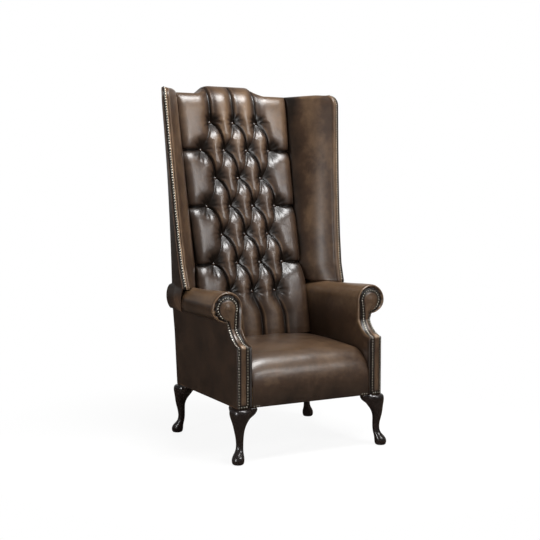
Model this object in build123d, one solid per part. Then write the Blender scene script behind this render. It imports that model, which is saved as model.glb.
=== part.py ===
"""High back wingback chair: beech frame, sprung seat, deep buttoned leather back and brass studs.

Lengths are millimetres. X runs to the right seen from the front, Y to the rear and Z up.
The chair is drawn with Y = 0 on the front plane of its arms. The last step moves it in Y,
so that the middle of its bounding box stands over the origin, with the feet on Z = 0.
"""
from build123d import *
import math
import os

# Whole chair
crest_height = 1526.0
leg_height = 216.0
body_half_width = 330.0
base_depth = 598.0
kink_height = 447.0
lower_rake = 6.2
upper_rake = 11.1

# Leather, soft filling and timber
leather = 3.0
soft_clearance = 0.3
post_depth = 45.0
post_width = 40.0
rail_thickness = 25.0
rail_height = 75.0
webbing_thickness = 2.0
overrun = 40.0

# Deep buttoned inside back
row_count = 7
lowest_row_height = 609.0
top_row_drop = 170.0
button_pitch = 113.0
button_radius = 8.0
button_rise = 6.0
button_land = 9.5
land_half_height = 10.0
padding_at_buttons = 80.0
lumbar_bulge = 50.0
lumbar_share = 1.7
padding_at_wings = 131.0
diamond_crown = 42.0
pleat_rise = 10.0
pleat_half_gap = 3.0
top_roll_height = 86.0
crest_crown_share = 0.75
crest_level_shares = (0.0, 0.25, 0.5, 0.75)
back_half_width_low = 256.0
back_narrow_height = 730.0
back_half_width_top = 276.0
back_flange_crown = 2.0

# Crest line: a raised middle that sweeps down to the wings
crest_half_width = 105.0
crest_sweep_share = 1.5
crest_sag = 6.0
shoulder_half_width = 167.0
shoulder_drop = 41.0
crest_roll_thickness = 14.0
top_rail_height = 112.0

# Wings
wing_foot_height = 651.0
wing_edge_width = 26.0
wing_board = 18.0
wing_pad_crown = 12.0
wing_corner_radius = 50.0
wing_run = 215.0
wing_sweep = 117.0
wing_sweep_share = 0.62
wing_foot_half_width = 379.0
wing_flare = 39.0
rear_half_width_foot = 324.0
rear_half_width_top = 299.0
wing_level_shares = (0.0, 0.18, 0.36, 0.54, 0.7, 0.86, 1.0)
wing_corner_turns = (25, 45)

# Arms
arm_inside = 268.0
facing_inside = 283.0
scroll_setback = 84.0
roll_centre = 332.0
roll_centre_height = 595.0
neck_drop = 80.0
sweep_height = 62.0
neck_inset = 10.0
roll_radius = 67.0
roll_rim = 7.0
roll_under_height = 546.0
roll_rear_top = 650.0
roll_rear_reach = 52.0
roll_end_reach = 33.0
roll_underside_reach = 13.0
arm_tail = 17.0
arm_front_bow = 12.0
facing_scroll_radius = 47.0
keyhole_inner_turn = 202.0
keyhole_outer_turn = -82.0
scroll_block_radius = 45.0
scroll_block_thickness = 20.0
arm_post_foot_depth = 57.0
arm_post_head_depth = 66.0
arm_post_head_height = 40.0
arm_post_brace_height = 400.0
arm_rail_height = 40.0
tack_rail_height = 35.0
tack_rail_bottom = 355.0

# Seat
seat_side_height = 392.0
seat_crown = 40.0
seat_back_height = 405.0
seat_front_lip = 345.0
seat_roll_depth = 66.0
seat_front_bulge = 9.0
seat_top_swell = 16.0
seat_back_crown_share = 0.2
seat_back_clearance = 1.0
border_flat = 16.0
spring_wire = 4.0
spring_count = 5
spring_spacing = 96.0
spring_waves = 6
spring_bend = 10.0
spring_wave_width = 44.0
clip_length = 16.0
clip_width = 20.0
clip_plate = 1.5
spring_cover_thickness = 2.0
dust_cover_thickness = 1.0
dust_cover_lap = 10.0
corner_block_leg = 60.0
corner_block_height = 45.0

# Webbing of the back
web_band_width = 50.0
web_band_count = 7
web_top_lap = 7.0

# Legs
foot_radius = 26.0
ear_length = 84.0
ear_tip_height = 15.0
ear_root = 34.0
ear_drop = 68.0
ear_hollow_share = 0.06
ear_thickness = 28.0
dowel_radius = 5.0
dowel_inset = 35.0
dowel_in_leg = 45.0
dowel_in_post = 40.0
leg_level_shares = (1.0, 0.91, 0.815, 0.72, 0.64, 0.56, 0.45, 0.33, 0.24, 0.18, 0.13, 0.07, 0.025, 0.0)
leg_inset_shares = (1.24, 1.22, 1.05, 0.75, 0.6, 0.6, 0.75, 0.8, 0.62, 0.27, 0.05, 0.0, 0.0, 0.0)
leg_girth_shares = (1.66, 1.68, 1.42, 1.06, 0.84, 0.71, 0.59, 0.54, 0.6, 0.78, 0.91, 0.96, 0.88, 0.72)
leg_round_shares = (0.8, 0.82, 0.86, 0.92, 0.96, 1.0, 1.0, 1.0, 1.0, 1.0, 1.0, 1.0, 1.0, 1.0)

# Studs
stud_radius = 4.6
stud_rise = 2.2
stud_pitch = 10.8
stud_margin = 4.5
base_row_length = 92.0
stud_seat = 0.15

rail_top = leg_height + rail_height
frame_half_width = body_half_width - leather
spring_cover_bottom = rail_top + spring_wire + clip_plate
spring_cover_top = spring_cover_bottom + spring_cover_thickness
soft_floor = spring_cover_top + soft_clearance
highest_row_height = crest_height - top_row_drop
row_pitch = (highest_row_height - lowest_row_height) / (row_count - 1)
wing_top_height = crest_height - shoulder_drop
neck_height = roll_centre_height - neck_drop
wing_foot_front = base_depth - wing_run
arm_end = base_depth + arm_tail
lowest_web = tack_rail_bottom + rail_height + web_band_width
highest_web = wing_top_height - top_rail_height + web_top_lap
web_band_spacing = (highest_web - lowest_web) / (web_band_count - 1)
arm_kink_height = neck_height - sweep_height
neck_inside = facing_inside + neck_inset


def rear_y(z):
    """Rear face of the chair: a small rake below the kink and the back's rake above it."""
    low = (min(z, kink_height) - leg_height) * math.tan(math.radians(lower_rake))
    high = max(z - kink_height, 0.0) * math.tan(math.radians(upper_rake))
    return base_depth + low + high


def post_front_y(z):
    return rear_y(z) - leather - post_depth


def web_y(z):
    return post_front_y(z) - webbing_thickness


def line(start, end):
    return Edge.make_line(Vector(*start), Vector(*end))


def bowed(start, end, rise, out):
    """An arc from start to end whose middle stands out by rise towards the direction out."""
    a, b, direction = Vector(*start), Vector(*end), Vector(*out)
    if rise <= soft_clearance * soft_clearance:
        return Edge.make_line(a, b)
    return Edge.make_three_point_arc(a, (a + b) * 0.5 + direction * rise, b)


def ring(points):
    """A closed wire of straight edges."""
    return Wire([line(p, q) for p, q in zip(points, points[1:] + points[:1])])


def ruled(wires):
    return Solid.make_loft(wires, True)


def prism_x(points, half_width):
    """A side outline of (y, z) points, drawn across the chair."""
    outline = ring([(-half_width, y, z) for y, z in points])
    return extrude(Face(outline), half_width + half_width, dir=(1, 0, 0))


def block(x0, x1, y0, y1, z0, z1):
    return Pos((x0 + x1) / 2, (y0 + y1) / 2, (z0 + z1) / 2) * Box(x1 - x0, y1 - y0, z1 - z0)


# Crest line and the flat slabs behind it

def half_width_at(z):
    """Half width of the body's rear face at a height."""
    if z <= roll_under_height:
        return body_half_width
    if z <= wing_foot_height:
        share = (z - roll_under_height) / (wing_foot_height - roll_under_height)
        return body_half_width + share * (rear_half_width_foot - body_half_width)
    share = (z - wing_foot_height) / (wing_top_height - wing_foot_height)
    return rear_half_width_foot + min(share * (2 - share), 1) * (rear_half_width_top - rear_half_width_foot)


def crest_face(foot, drop, inset):
    """Front outline from a height foot up to the crest line, lowered by drop, seen along Y."""
    top = crest_height - drop
    shoulder = crest_height - shoulder_drop - drop
    levels = (kink_height, roll_under_height, *wing_levels(), shoulder)
    levels = [foot] + sorted({z for z in levels if foot < z <= shoulder})
    right = [(half_width_at(z) - inset, 0, z) for z in levels]
    edges = []
    for side in (1, -1):
        points = [(side * x, y, z) for x, y, z in right]
        edges += [line(p, q) for p, q in zip(points, points[1:])]
        edges.append(line(points[-1], (side * shoulder_half_width, 0, shoulder)))
        low, high = (side * shoulder_half_width, 0, shoulder), (side * crest_half_width, 0, top)
        edges.append(bowed(low, high, crest_sag, (0, 0, -1)))
    edges.append(line((-crest_half_width, 0, top), (crest_half_width, 0, top)))
    edges.append(line((half_width_at(foot) - inset, 0, foot), (inset - half_width_at(foot), 0, foot)))
    return Face(Wire(edges))


def back_slab(front_offset, rear_offset):
    """A sheet that follows the rear face, between two depths in front of it."""
    levels = (leg_height, kink_height, crest_height + overrun)
    rear = [(rear_y(z) - rear_offset, z) for z in levels]
    front = [(rear_y(z) - front_offset, z) for z in levels]
    return prism_x(rear + front[::-1], body_half_width + overrun)


def crest_prism(foot, drop, inset):
    depth = rear_y(crest_height) + overrun
    return extrude(crest_face(foot, drop, inset), depth, dir=(0, 1, 0))


def outside_back_cover():
    return back_slab(leather, 0) & crest_prism(leg_height, 0, leather)


def back_top_rail():
    span = back_slab(leather + post_depth, leather)
    drop = crest_roll_thickness
    shape = crest_prism(crest_height - shoulder_drop - top_rail_height, drop, 0) & span
    outside = beside_posts()
    return shape - outside - mirror(outside, about=Plane.YZ)


def beside_posts():
    """What lies outside the inner faces of the rear posts."""
    sections = []
    for z in wing_levels() + [crest_height + overrun]:
        x, far, deep = post_inside_x(z), body_half_width + overrun, rear_y(z) + overrun
        sections.append(ring([(x, 0, z), (far, 0, z), (far, deep, z), (x, deep, z)]))
    return ruled(sections)


def crest_roll():
    """Padded leather roll that carries the back's leather over the top rail."""
    band = crest_prism(crest_height - shoulder_drop - crest_roll_thickness, 0, 0)
    band = band - crest_prism(crest_height - shoulder_drop - crest_roll_thickness - overrun,
                              crest_roll_thickness, -overrun)
    band = band & back_slab(leather + post_depth + webbing_thickness, leather)
    limit = post_inside_x(wing_top_height)
    return band & block(-limit, limit, 0, rear_y(crest_height) + overrun, 0, crest_height + overrun)


# Wings: every layer is a loft between plan sections that share their corner points

def wing_levels():
    """Heights of the plan sections, up to the leather that lies over the wing's top."""
    bend = wing_top_height - wing_corner_radius
    low = [back_narrow_height + s * (bend - back_narrow_height) for s in wing_level_shares]
    turns = [bend + wing_corner_radius * math.sin(math.radians(t)) for t in wing_corner_turns]
    return [wing_foot_height] + low + turns + [wing_top_height - leather]


def wing_front(z):
    """Centre of the studded front edge at a height."""
    share = (z - wing_foot_height) / (wing_top_height - wing_foot_height)
    x = wing_foot_half_width + wing_flare * share
    y = wing_foot_front + wing_sweep * share ** wing_sweep_share
    rise = z - (wing_top_height - wing_corner_radius)
    if rise > 0:
        cut = wing_corner_radius - math.sqrt(max(wing_corner_radius ** 2 - rise ** 2, 0))
        x -= cut * (x - half_width_at(z)) / (rear_y(z) - y)
        y += cut
    return x, y


class WingPlan:
    """One plan section: s runs forward from the rear corner, o inwards from the outside face."""

    def __init__(self, z):
        self.z = z
        self.rear = (half_width_at(z), rear_y(z))
        fx, fy = wing_front(z)
        run = math.hypot(fx - self.rear[0], fy - self.rear[1])
        ux, uy = (fx - self.rear[0]) / run, (fy - self.rear[1]) / run
        ax, ay = fx - uy * wing_edge_width / 2, fy + ux * wing_edge_width / 2
        self.length = math.hypot(ax - self.rear[0], ay - self.rear[1])
        self.u = ((ax - self.rear[0]) / self.length, (ay - self.rear[1]) / self.length)
        self.n = (self.u[1], -self.u[0])

    def at(self, s, o):
        x = self.rear[0] + self.u[0] * s + self.n[0] * o
        y = self.rear[1] + self.u[1] * s + self.n[1] * o
        return (x, y, self.z)

    def at_y(self, y, o):
        s = (y - self.rear[1] - self.n[1] * o) / self.u[1]
        return self.at(s, o)


def back_edge_x(z):
    """Half width of the buttoned back: between the arms, then narrower between the wings."""
    wide = arm_inside - soft_clearance
    if z <= wing_foot_height:
        return wide
    if z <= back_narrow_height:
        share = (z - wing_foot_height) / (back_narrow_height - wing_foot_height)
        return wide + share * (back_half_width_low - wide)
    share = (z - back_narrow_height) / (wing_top_height - back_narrow_height)
    return back_half_width_low + share * (back_half_width_top - back_half_width_low)


def back_edge_y(z):
    return web_y(z) - (padding_at_wings - leather - post_depth - webbing_thickness) * roll_fullness(z)


def post_inside_x(z):
    return half_width_at(z) - leather - post_width - (wing_board if z >= wing_foot_height else 0)


def wing_loft(section):
    return ruled([section(WingPlan(z)) for z in wing_levels()])


def wing_facing():
    def section(p):
        back, front = p.length - leather, p.length
        return ring([p.at(back, 0), p.at(front, 0), p.at(front, wing_edge_width), p.at(back, wing_edge_width)])
    return wing_loft(section)


def outside_wing_cover():
    def section(p):
        front = p.length - leather
        return ring([p.at(0, 0), p.at(front, 0), p.at(front, leather), p.at(0, leather)])
    return wing_loft(section) + wing_tail() + wing_lid()


def wing_tail():
    """The wing's leather behind the end of the arm's roll."""
    low, p = roll_under_height, WingPlan(wing_foot_height)
    y, x = arm_end + soft_clearance, body_half_width
    foot = ring([(x, rear_y(low), low), (x, y, low), (x - leather, y, low), (x - leather, rear_y(low), low)])
    return ruled([foot, ring([p.at(0, 0), p.at_y(y, 0), p.at_y(y, leather), p.at(0, leather)])])


def wing_lid():
    """The leather over the top of the wing, its board, its pad and the rear post."""
    sections = []
    for z in (wing_top_height - leather, wing_top_height):
        p, x, post_x = WingPlan(z), back_edge_x(z) + soft_clearance, post_inside_x(z)
        rear, post_front = rear_y(z) - leather, post_front_y(z)
        sections.append(ring([p.at(0, 0), p.at(p.length, 0), p.at(p.length, wing_edge_width),
                              (x, back_edge_y(z), z), (x, post_front, z), (post_x, post_front, z),
                              (post_x, rear, z), p.at_y(rear, leather)]))
    return ruled(sections)


def wing_board_piece():
    def section(p):
        front, inner = p.length - leather, leather + wing_board
        rear = rear_y(p.z) - leather
        return ring([p.at_y(rear, leather), p.at(front, leather), p.at(front, inner), p.at_y(rear, inner)])
    return wing_loft(section)


def wing_crown_mid(a, b):
    """Direction towards the sitter, square to the wing's inside face."""
    run = math.hypot(b[0] - a[0], b[1] - a[1])
    return ((b[1] - a[1]) / run, -(b[0] - a[0]) / run, 0)


def inside_wing_cover():
    def section(p):
        front = p.length - leather
        x, y = back_edge_x(p.z) + soft_clearance, back_edge_y(p.z)
        rear = post_front_y(p.z) - soft_clearance
        b, b2 = p.at(front, wing_edge_width), p.at(front, wing_edge_width - leather)
        c, c2 = (x, y, p.z), (x + leather, y + leather, p.z)
        r, r2 = (x, rear, p.z), (x + leather, rear, p.z)
        way = wing_crown_mid(b, c)
        return Wire([bowed(b, c, wing_pad_crown, way), line(c, r), line(r, r2), line(r2, c2),
                     bowed(c2, b2, wing_pad_crown, way), line(b2, b)])
    return wing_loft(section)


def wing_pad():
    def section(p):
        front, inner = p.length - leather, leather + wing_board
        x, y = back_edge_x(p.z) + soft_clearance + leather, back_edge_y(p.z) + leather
        rear = post_front_y(p.z) - soft_clearance
        b, c = p.at(front, wing_edge_width - leather), (x, y, p.z)
        way = wing_crown_mid(b, c)
        return Wire([bowed(b, c, wing_pad_crown, way), line(c, (x, rear, p.z)),
                     line((x, rear, p.z), p.at_y(rear, inner)),
                     line(p.at_y(rear, inner), p.at(front, inner)), line(p.at(front, inner), b)])
    return wing_loft(section)


def back_post():
    """Rear post, square below the wing and wedge shaped where the wing board lies on it."""
    lower = []
    for z in (leg_height, kink_height, roll_under_height):
        x0, x1 = post_inside_x(z), frame_half_width
        y0, y1 = post_front_y(z), rear_y(z) - leather
        lower.append(ring([(x0, y0, z), (x1, y0, z), (x1, y1, z), (x0, y1, z)]))
    inner = leather + wing_board
    for z in [wing_foot_height] + wing_levels()[1:]:
        p, x0 = WingPlan(z), post_inside_x(z)
        y0, y1 = post_front_y(z), rear_y(z) - leather
        lower.append(ring([(x0, y0, z), p.at_y(y0, inner), p.at_y(y1, inner), (x0, y1, z)]))
    post = ruled(lower)
    x = body_half_width - dowel_inset
    y = base_depth - dowel_inset
    return post - Pos(x, y, leg_height + dowel_in_post / 2) * Cylinder(dowel_radius, dowel_in_post)


# Deep buttoned back: horizontal sections of nine arcs between eight pleat lines

def roll_fullness(z):
    """1 on the face of the back, falling to 0 where the leather turns over the crest."""
    start = crest_height - top_roll_height
    if z <= start:
        return 1.0
    return math.sqrt(max(1 - ((z - start) / top_roll_height) ** 2, 0.0))


def land_y(z):
    """Face of the back at the buttons and in the bottom of the pleats."""
    share = min(max((z - lowest_row_height) / (highest_row_height - lowest_row_height), 0), 1)
    depth = padding_at_buttons + lumbar_bulge * (1 - share) ** lumbar_share
    return web_y(z) - (depth - leather - post_depth - webbing_thickness) * roll_fullness(z)


def back_limit_x(z):
    """Half width of a section: the wings below, the sweep of the crest line above."""
    shoulder = crest_height - shoulder_drop
    if z <= shoulder:
        return back_edge_x(z)
    share = (z - shoulder) / shoulder_drop
    return crest_half_width + (shoulder_half_width - crest_half_width) * max(1 - share, 0) ** crest_sweep_share


def pleat_lines(z):
    """The eight pleat places and how far each has risen from the bottom of its pleat."""
    limit, land, pitch = back_limit_x(z), button_land, button_pitch
    if z > highest_row_height or z < lowest_row_height:
        away = max(z - highest_row_height, lowest_row_height - z)
        land = button_land if away <= land_half_height else pleat_half_gap
        outer = min(pitch, limit - land - land - land)
        right = [land, outer - land, outer + land, limit - land / 2]
        return [-x for x in right[::-1]] + right, 0.0, 1.0
    position = (z - lowest_row_height) / row_pitch
    row = int(position)
    phase = position - row
    window = land_half_height / row_pitch
    phase = min(max((phase - window) / (1 - window - window), 0), 1)
    three = [land, pitch - land, pitch + land, limit - land / 2]
    four = [pitch / 2 - land, pitch / 2 + land, pitch * 1.5 - land, pitch * 1.5 + land]
    low, high = (three, four) if row % 2 == 0 else (four, three)
    right = [a + (b - a) * phase for a, b in zip(low, high)]
    side_pleat = phase if row % 2 == 0 else 1 - phase
    return [-x for x in right[::-1]] + right, math.sin(math.pi * phase), 1 - side_pleat


def back_arcs(z, shift):
    """Front edges of one section, from the left side to the right."""
    lines, rise, side_share = pleat_lines(z)
    rise = rise * pleat_rise
    limit, fullness = back_limit_x(z), roll_fullness(z)
    edge_y, base = back_edge_y(z), land_y(z)
    outer_y = base + (edge_y - base) * side_share
    ys = [outer_y] + [base - rise] * 6 + [outer_y]
    xs = [-limit] + lines + [limit]
    ys = [edge_y] + ys + [edge_y]
    crown = diamond_crown * fullness
    if z > highest_row_height:
        share = (z - highest_row_height) / (crest_height - highest_row_height)
        crown = crown * (1 - share * (1 - crest_crown_share))
    if z < lowest_row_height:
        share = (lowest_row_height - z) / (lowest_row_height - seat_back_height)
        crown = max(crown * (1 - min(share, 1)), back_flange_crown)
    edges = []
    for i in range(9):
        width = xs[i + 1] - xs[i]
        full = math.sin(math.pi / 2 * min(width / button_pitch, 1))
        bow = crown * full - rise
        is_land = width <= button_land * 2 + soft_clearance and z >= lowest_row_height - land_half_height
        if i in (0, 8):
            bow = bow * min(side_share * 2 + 0.1, 1)
        bow = min(max(bow, 0), width * 0.46)
        if is_land:
            bow = 0
        start = (xs[i], ys[i] + shift, z)
        end = (xs[i + 1], ys[i + 1] + shift, z)
        edges.append(bowed(start, end, bow, (0, -1, 0)))
    return edges, (-limit, edge_y + shift, z), (limit, edge_y + shift, z)


def back_levels():
    flange = seat_back_height + seat_crown
    levels = [soft_floor, seat_back_height, flange, kink_height, (flange + lowest_row_height) / 2]
    for row in range(row_count):
        z = lowest_row_height + row * row_pitch
        levels += [z - land_half_height, z + land_half_height]
        if row < row_count - 1:
            gap = row_pitch - land_half_height - land_half_height
            levels += [z + land_half_height + gap * s for s in (0.25, 0.5, 0.75)]
    start = crest_height - top_roll_height
    levels += [(highest_row_height + land_half_height + start) / 2, start]
    shoulder = crest_height - shoulder_drop
    levels += [(start + shoulder) / 2] + [shoulder + shoulder_drop * s for s in crest_level_shares]
    levels += [wing_foot_height, back_narrow_height, wing_top_height - leather]
    return sorted(set(levels))


def crest_cap_levels():
    return [crest_height - shoulder_drop * 0.25, crest_height - shoulder_drop * 0.05]


def back_foam():
    wires = []
    for z in back_levels():
        edges, left, right = back_arcs(z, leather)
        rear = web_y(z)
        back = [line(right, (right[0], rear, z)), line((right[0], rear, z), (left[0], rear, z))]
        wires.append(Wire(edges + back + [line((left[0], rear, z), left)]))
    return ruled(wires)


def inside_back_cover():
    shell = []
    for z in back_levels():
        front, left, right = back_arcs(z, 0)
        inner, left_in, right_in = back_arcs(z, leather)
        shell.append(Wire(front + [line(right, right_in)] + inner + [line(left_in, left)]))
    cap = []
    for z in crest_cap_levels():
        front, left, right = back_arcs(z, 0)
        rear = web_y(z)
        sides = [line(right, (right[0], rear, z)), line((right[0], rear, z), (left[0], rear, z))]
        cap.append(Wire(front + sides + [line((left[0], rear, z), left)]))
    return ruled(shell) + ruled(cap)


def button_places():
    places = []
    for row in range(row_count):
        z = lowest_row_height + row * row_pitch
        count = 3 if row % 2 == 0 else 4
        for i in range(count):
            places.append(((i - (count - 1) / 2) * button_pitch, z))
    return places


def back_buttons():
    dome_radius = (button_radius ** 2 + button_rise ** 2) / (2 * button_rise)
    buttons = []
    for x, z in button_places():
        low, high = z - land_half_height, z + land_half_height
        tilt = math.degrees(math.atan2(land_y(high) - land_y(low), high - low))
        y = (land_y(low) + land_y(high)) / 2
        dome = Sphere(dome_radius) & (Pos(0, 0, dome_radius - button_rise / 2) * Box(
            dome_radius * 2, dome_radius * 2, button_rise))
        dome = Pos(0, 0, button_rise - dome_radius) * dome
        buttons.append(Pos(x, y, z) * Rot(90 - tilt, 0, 0) * dome)
    return Compound(buttons)


# Arms: a slab and a roll, cut to the swept front outline

def front_prism(shift):
    """Everything behind the arm's front outline, moved back by shift."""
    chord = math.hypot(scroll_setback, neck_height - arm_kink_height)
    out = (0, (neck_height - arm_kink_height) / chord, -scroll_setback / chord)
    top, far = crest_height, base_depth + overrun
    side = [(shift, leg_height - overrun), (shift, arm_kink_height), (scroll_setback + shift, neck_height),
            (scroll_setback + shift, top), (far, top), (far, leg_height - overrun)]
    p = [(0, y, z) for y, z in side]
    edges = [line(p[0], p[1]), bowed(p[1], p[2], arm_front_bow, out), line(p[2], p[3]), line(p[3], p[4]),
             line(p[4], p[5]), line(p[5], p[0])]
    return extrude(Face(Wire(edges)), body_half_width + roll_radius + overrun, dir=(1, 0, 0))


def arm_section(y, top, reach, inset):
    """Slab with a roll on top: arcs over the roll, flats down both sides."""
    x0, x1, xc = arm_inside + inset, body_half_width - inset, roll_centre
    under, top, reach = roll_under_height + inset, top - inset, reach - inset
    zc = (top + under) / 2 if reach < roll_radius - roll_rim - overrun / 4 else roll_centre_height
    inside = xc - x0
    half = math.sqrt(0.5)
    start, crown, outer = Vector(x0, y, zc), Vector(xc, y, top), Vector(xc + reach, y, zc)
    tuck = Vector(xc + roll_underside_reach, y, under)
    over_in = Vector(xc - inside * half, y, zc + (top - zc) * half)
    over_out = Vector(xc + reach * half, y, zc + (top - zc) * half)
    below = Vector(xc + reach * 0.82, y, zc - (zc - under) * 0.66)
    foot_out, foot_in = Vector(x1, y, leg_height), Vector(x0, y, leg_height)
    return Wire([Edge.make_line(foot_in, start), Edge.make_three_point_arc(start, over_in, crown),
                 Edge.make_three_point_arc(crown, over_out, outer),
                 Edge.make_three_point_arc(outer, below, tuck), Edge.make_line(tuck, Vector(x1, y, under)),
                 Edge.make_line(Vector(x1, y, under), foot_out), Edge.make_line(foot_out, foot_in)])


def arm_form(inset):
    """Levels from front to rear: the face of the scroll, its rounded rim, the wing's foot, the end."""
    face = roll_centre_height + roll_radius - roll_rim, roll_radius - roll_rim
    full = roll_centre_height + roll_radius, roll_radius
    levels = [(0, *face), (scroll_setback, *face), (scroll_setback + roll_rim, *full),
              (wing_foot_front, roll_rear_top, roll_rear_reach), (arm_end, roll_rear_top, roll_end_reach)]
    return ruled([arm_section(y, top, reach, inset) for y, top, reach in levels])


def scroll_point(radius, turn):
    """A point round the scroll's centre, in X and Z."""
    angle = math.radians(turn)
    return roll_centre + radius * math.cos(angle), roll_centre_height + radius * math.sin(angle)


def facing_prism():
    """Front outline of the studded facing: a strip that runs up into the scroll."""
    bulb = [scroll_point(facing_scroll_radius, turn) for turn in (keyhole_outer_turn, keyhole_inner_turn)]
    strip = [(facing_inside, leg_height), (body_half_width, leg_height), (body_half_width, neck_height),
             *bulb, (neck_inside, neck_height), (facing_inside, arm_kink_height)]
    depth = scroll_setback + leather + overrun
    face = Face(ring([(x, 0, z) for x, z in strip]))
    disc = Pos(roll_centre, depth / 2, roll_centre_height) * Rot(90, 0, 0) * Cylinder(
        facing_scroll_radius, depth)
    return extrude(face, depth, dir=(0, 1, 0)) + disc


def arm_facing():
    sheet = front_prism(0) - front_prism(leather)
    return sheet & arm_form(0) & facing_prism()


def outside_arm_cover():
    levels = (leg_height, kink_height, roll_under_height)
    rear = [(rear_y(z), z) for z in levels]
    sheet = ring([(frame_half_width, y, z) for y, z in [(0, leg_height)] + rear + [(0, roll_under_height)]])
    return extrude(Face(sheet), leather, dir=(1, 0, 0)) & front_prism(leather)


def arm_inner():
    return arm_form(leather) & front_prism(leather)


def inside_arm_cover():
    skin = (arm_form(0) & front_prism(0)) - arm_inner() - arm_facing()
    far = rear_y(wing_foot_height)
    skin = skin - block(frame_half_width, body_half_width + leather, leather, far, leg_height, roll_under_height)
    under = block(arm_inside - leather, body_half_width + leather, leather, far, leg_height - leather, soft_floor)
    return skin - under - behind_arm()


def behind_arm():
    """The rear post's place, which the arm's soft parts stop short of."""
    levels = (leg_height - leather, kink_height, crest_height)
    side = [(post_front_y(z) - soft_clearance, z) for z in levels]
    far = rear_y(crest_height)
    return prism_x(side + [(far, crest_height), (far, leg_height - leather)], frame_half_width)


def arm_post_inside():
    return frame_half_width - post_width


def arm_pad():
    far = rear_y(wing_foot_height)
    cavity = block(arm_post_inside(), body_half_width, 0, far, leg_height - leather, roll_under_height + leather)
    floor = block(arm_inside, body_half_width, 0, far, leg_height - leather, soft_floor)
    return arm_inner() - cavity - floor - behind_arm() - arm_post() - arm_rail() - scroll_block()


def scroll_block():
    y = scroll_setback + leather + scroll_block_thickness / 2
    return Pos(roll_centre, y, roll_centre_height) * Rot(90, 0, 0) * Cylinder(
        scroll_block_radius, scroll_block_thickness)


def arm_post():
    """Front post of the arm: its front edge follows the sweep, its head stands behind the scroll."""
    ledge = roll_centre_height - scroll_block_radius
    head = scroll_setback + leather + scroll_block_thickness
    back, foot = head + arm_post_head_depth, leather + arm_post_foot_depth
    top = roll_centre_height + arm_rail_height / 2
    side = [(0, leg_height), (0, ledge), (head, ledge), (head, top), (back, top),
            (back, top - arm_post_head_height), (foot, arm_post_brace_height), (foot, leg_height)]
    x = arm_post_inside()
    shape = extrude(Face(ring([(x, y, z) for y, z in side])), frame_half_width - x, dir=(1, 0, 0))
    shape = shape & front_prism(leather)
    hole = Cylinder(dowel_radius, dowel_in_post)
    return shape - Pos(body_half_width - dowel_inset, dowel_inset, leg_height + dowel_in_post / 2) * hole


def arm_rail():
    """Rail under the roll, from the head of the front post to the rear post."""
    front = scroll_setback + leather + scroll_block_thickness + arm_post_head_depth
    low, high = roll_centre_height - arm_rail_height / 2, roll_centre_height + arm_rail_height / 2
    side = [(front, low), (post_front_y(low), low), (post_front_y(high), high), (front, high)]
    x = arm_post_inside()
    shape = extrude(Face(ring([(x, y, z) for y, z in side])), frame_half_width - x, dir=(1, 0, 0))
    return shape


def long_rail(z0, z1, front):
    side = [(front, z0), (post_front_y(z0), z0), (post_front_y(z1), z1), (front, z1)]
    x = frame_half_width - rail_thickness
    return extrude(Face(ring([(x, y, z) for y, z in side])), rail_thickness, dir=(1, 0, 0))


def seat_rail_side():
    return long_rail(leg_height, rail_top, leather + arm_post_foot_depth)


def arm_tack_rail():
    return long_rail(tack_rail_bottom, tack_rail_bottom + tack_rail_height, leather + arm_post_foot_depth)


def seat_rail_front():
    x = arm_post_inside()
    return block(-x, x, leather, leather + rail_thickness, leg_height, rail_top)


def cross_rail(z0, z1, thickness):
    """A rail between the rear posts, flush with their rear faces."""
    side = [(rear_y(z0) - leather - thickness, z0), (rear_y(z0) - leather, z0),
            (rear_y(z1) - leather, z1), (rear_y(z1) - leather - thickness, z1)]
    return prism_x(side, arm_post_inside())


def seat_rail_rear():
    return cross_rail(leg_height, rail_top, rail_thickness)


def back_bottom_rail():
    return cross_rail(tack_rail_bottom, tack_rail_bottom + rail_height, post_depth)


def corner_blocks():
    """Triangular blocks glued and screwed into the four corners of the seat frame."""
    rail_in, side_in = leather + rail_thickness, frame_half_width - rail_thickness
    post_in, post_rear = arm_post_inside(), leather + arm_post_foot_depth
    leg = corner_block_leg
    front = [(post_in - leg, rail_in), (post_in, rail_in), (post_in, post_rear), (side_in, post_rear),
             (side_in, post_rear + leg)]
    deep, post_face = rear_y(leg_height) - leather - rail_thickness, post_front_y(leg_height)
    rear = [(post_in - leg, deep), (post_in, deep), (post_in, post_face), (side_in, post_face),
            (side_in, post_face - leg)]
    blocks = []
    for outline in (front, rear):
        for side in (1, -1):
            face = Face(ring([(side * x, y, leg_height) for x, y in outline]))
            blocks.append(extrude(face, corner_block_height, dir=(0, 0, 1)))
    return Compound(blocks)


# Seat: sections across the chair, crowned in the middle and rolled over the front rail

def seat_edges(x, inset):
    half = arm_inside - soft_clearance
    bulge = math.sqrt(max(1 - (x / half) ** 2, 0))
    lip = seat_front_lip + seat_crown * bulge * 0.3
    flat = leg_height + border_flat
    a, a2, b = (x, inset, leg_height), (x, inset, flat), (x, inset, lip)
    c = (x, seat_roll_depth, seat_side_height + seat_crown * bulge - inset)
    rear = land_y(seat_back_height) - back_flange_crown - seat_back_clearance
    d = (x, rear, seat_back_height + seat_crown * seat_back_crown_share * bulge - inset)
    chord = math.hypot(c[1] - b[1], c[2] - b[2])
    out = (0, -(c[2] - b[2]) / chord, (c[1] - b[1]) / chord)
    swell = seat_top_swell * (0.4 + 0.6 * bulge)
    edges = [line(a, a2), bowed(a2, b, seat_front_bulge * (0.2 + 0.8 * bulge), (0, -1, 0)),
             bowed(b, c, chord * 0.22, out), bowed(c, d, swell, (0, 0, 1))]
    return edges, a, d


def seat_levels():
    half = arm_inside - soft_clearance
    right = [half * math.sin(math.radians(t)) for t in (15, 32, 50, 68, 90)]
    return [-x for x in right[::-1]] + [0] + right


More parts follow.
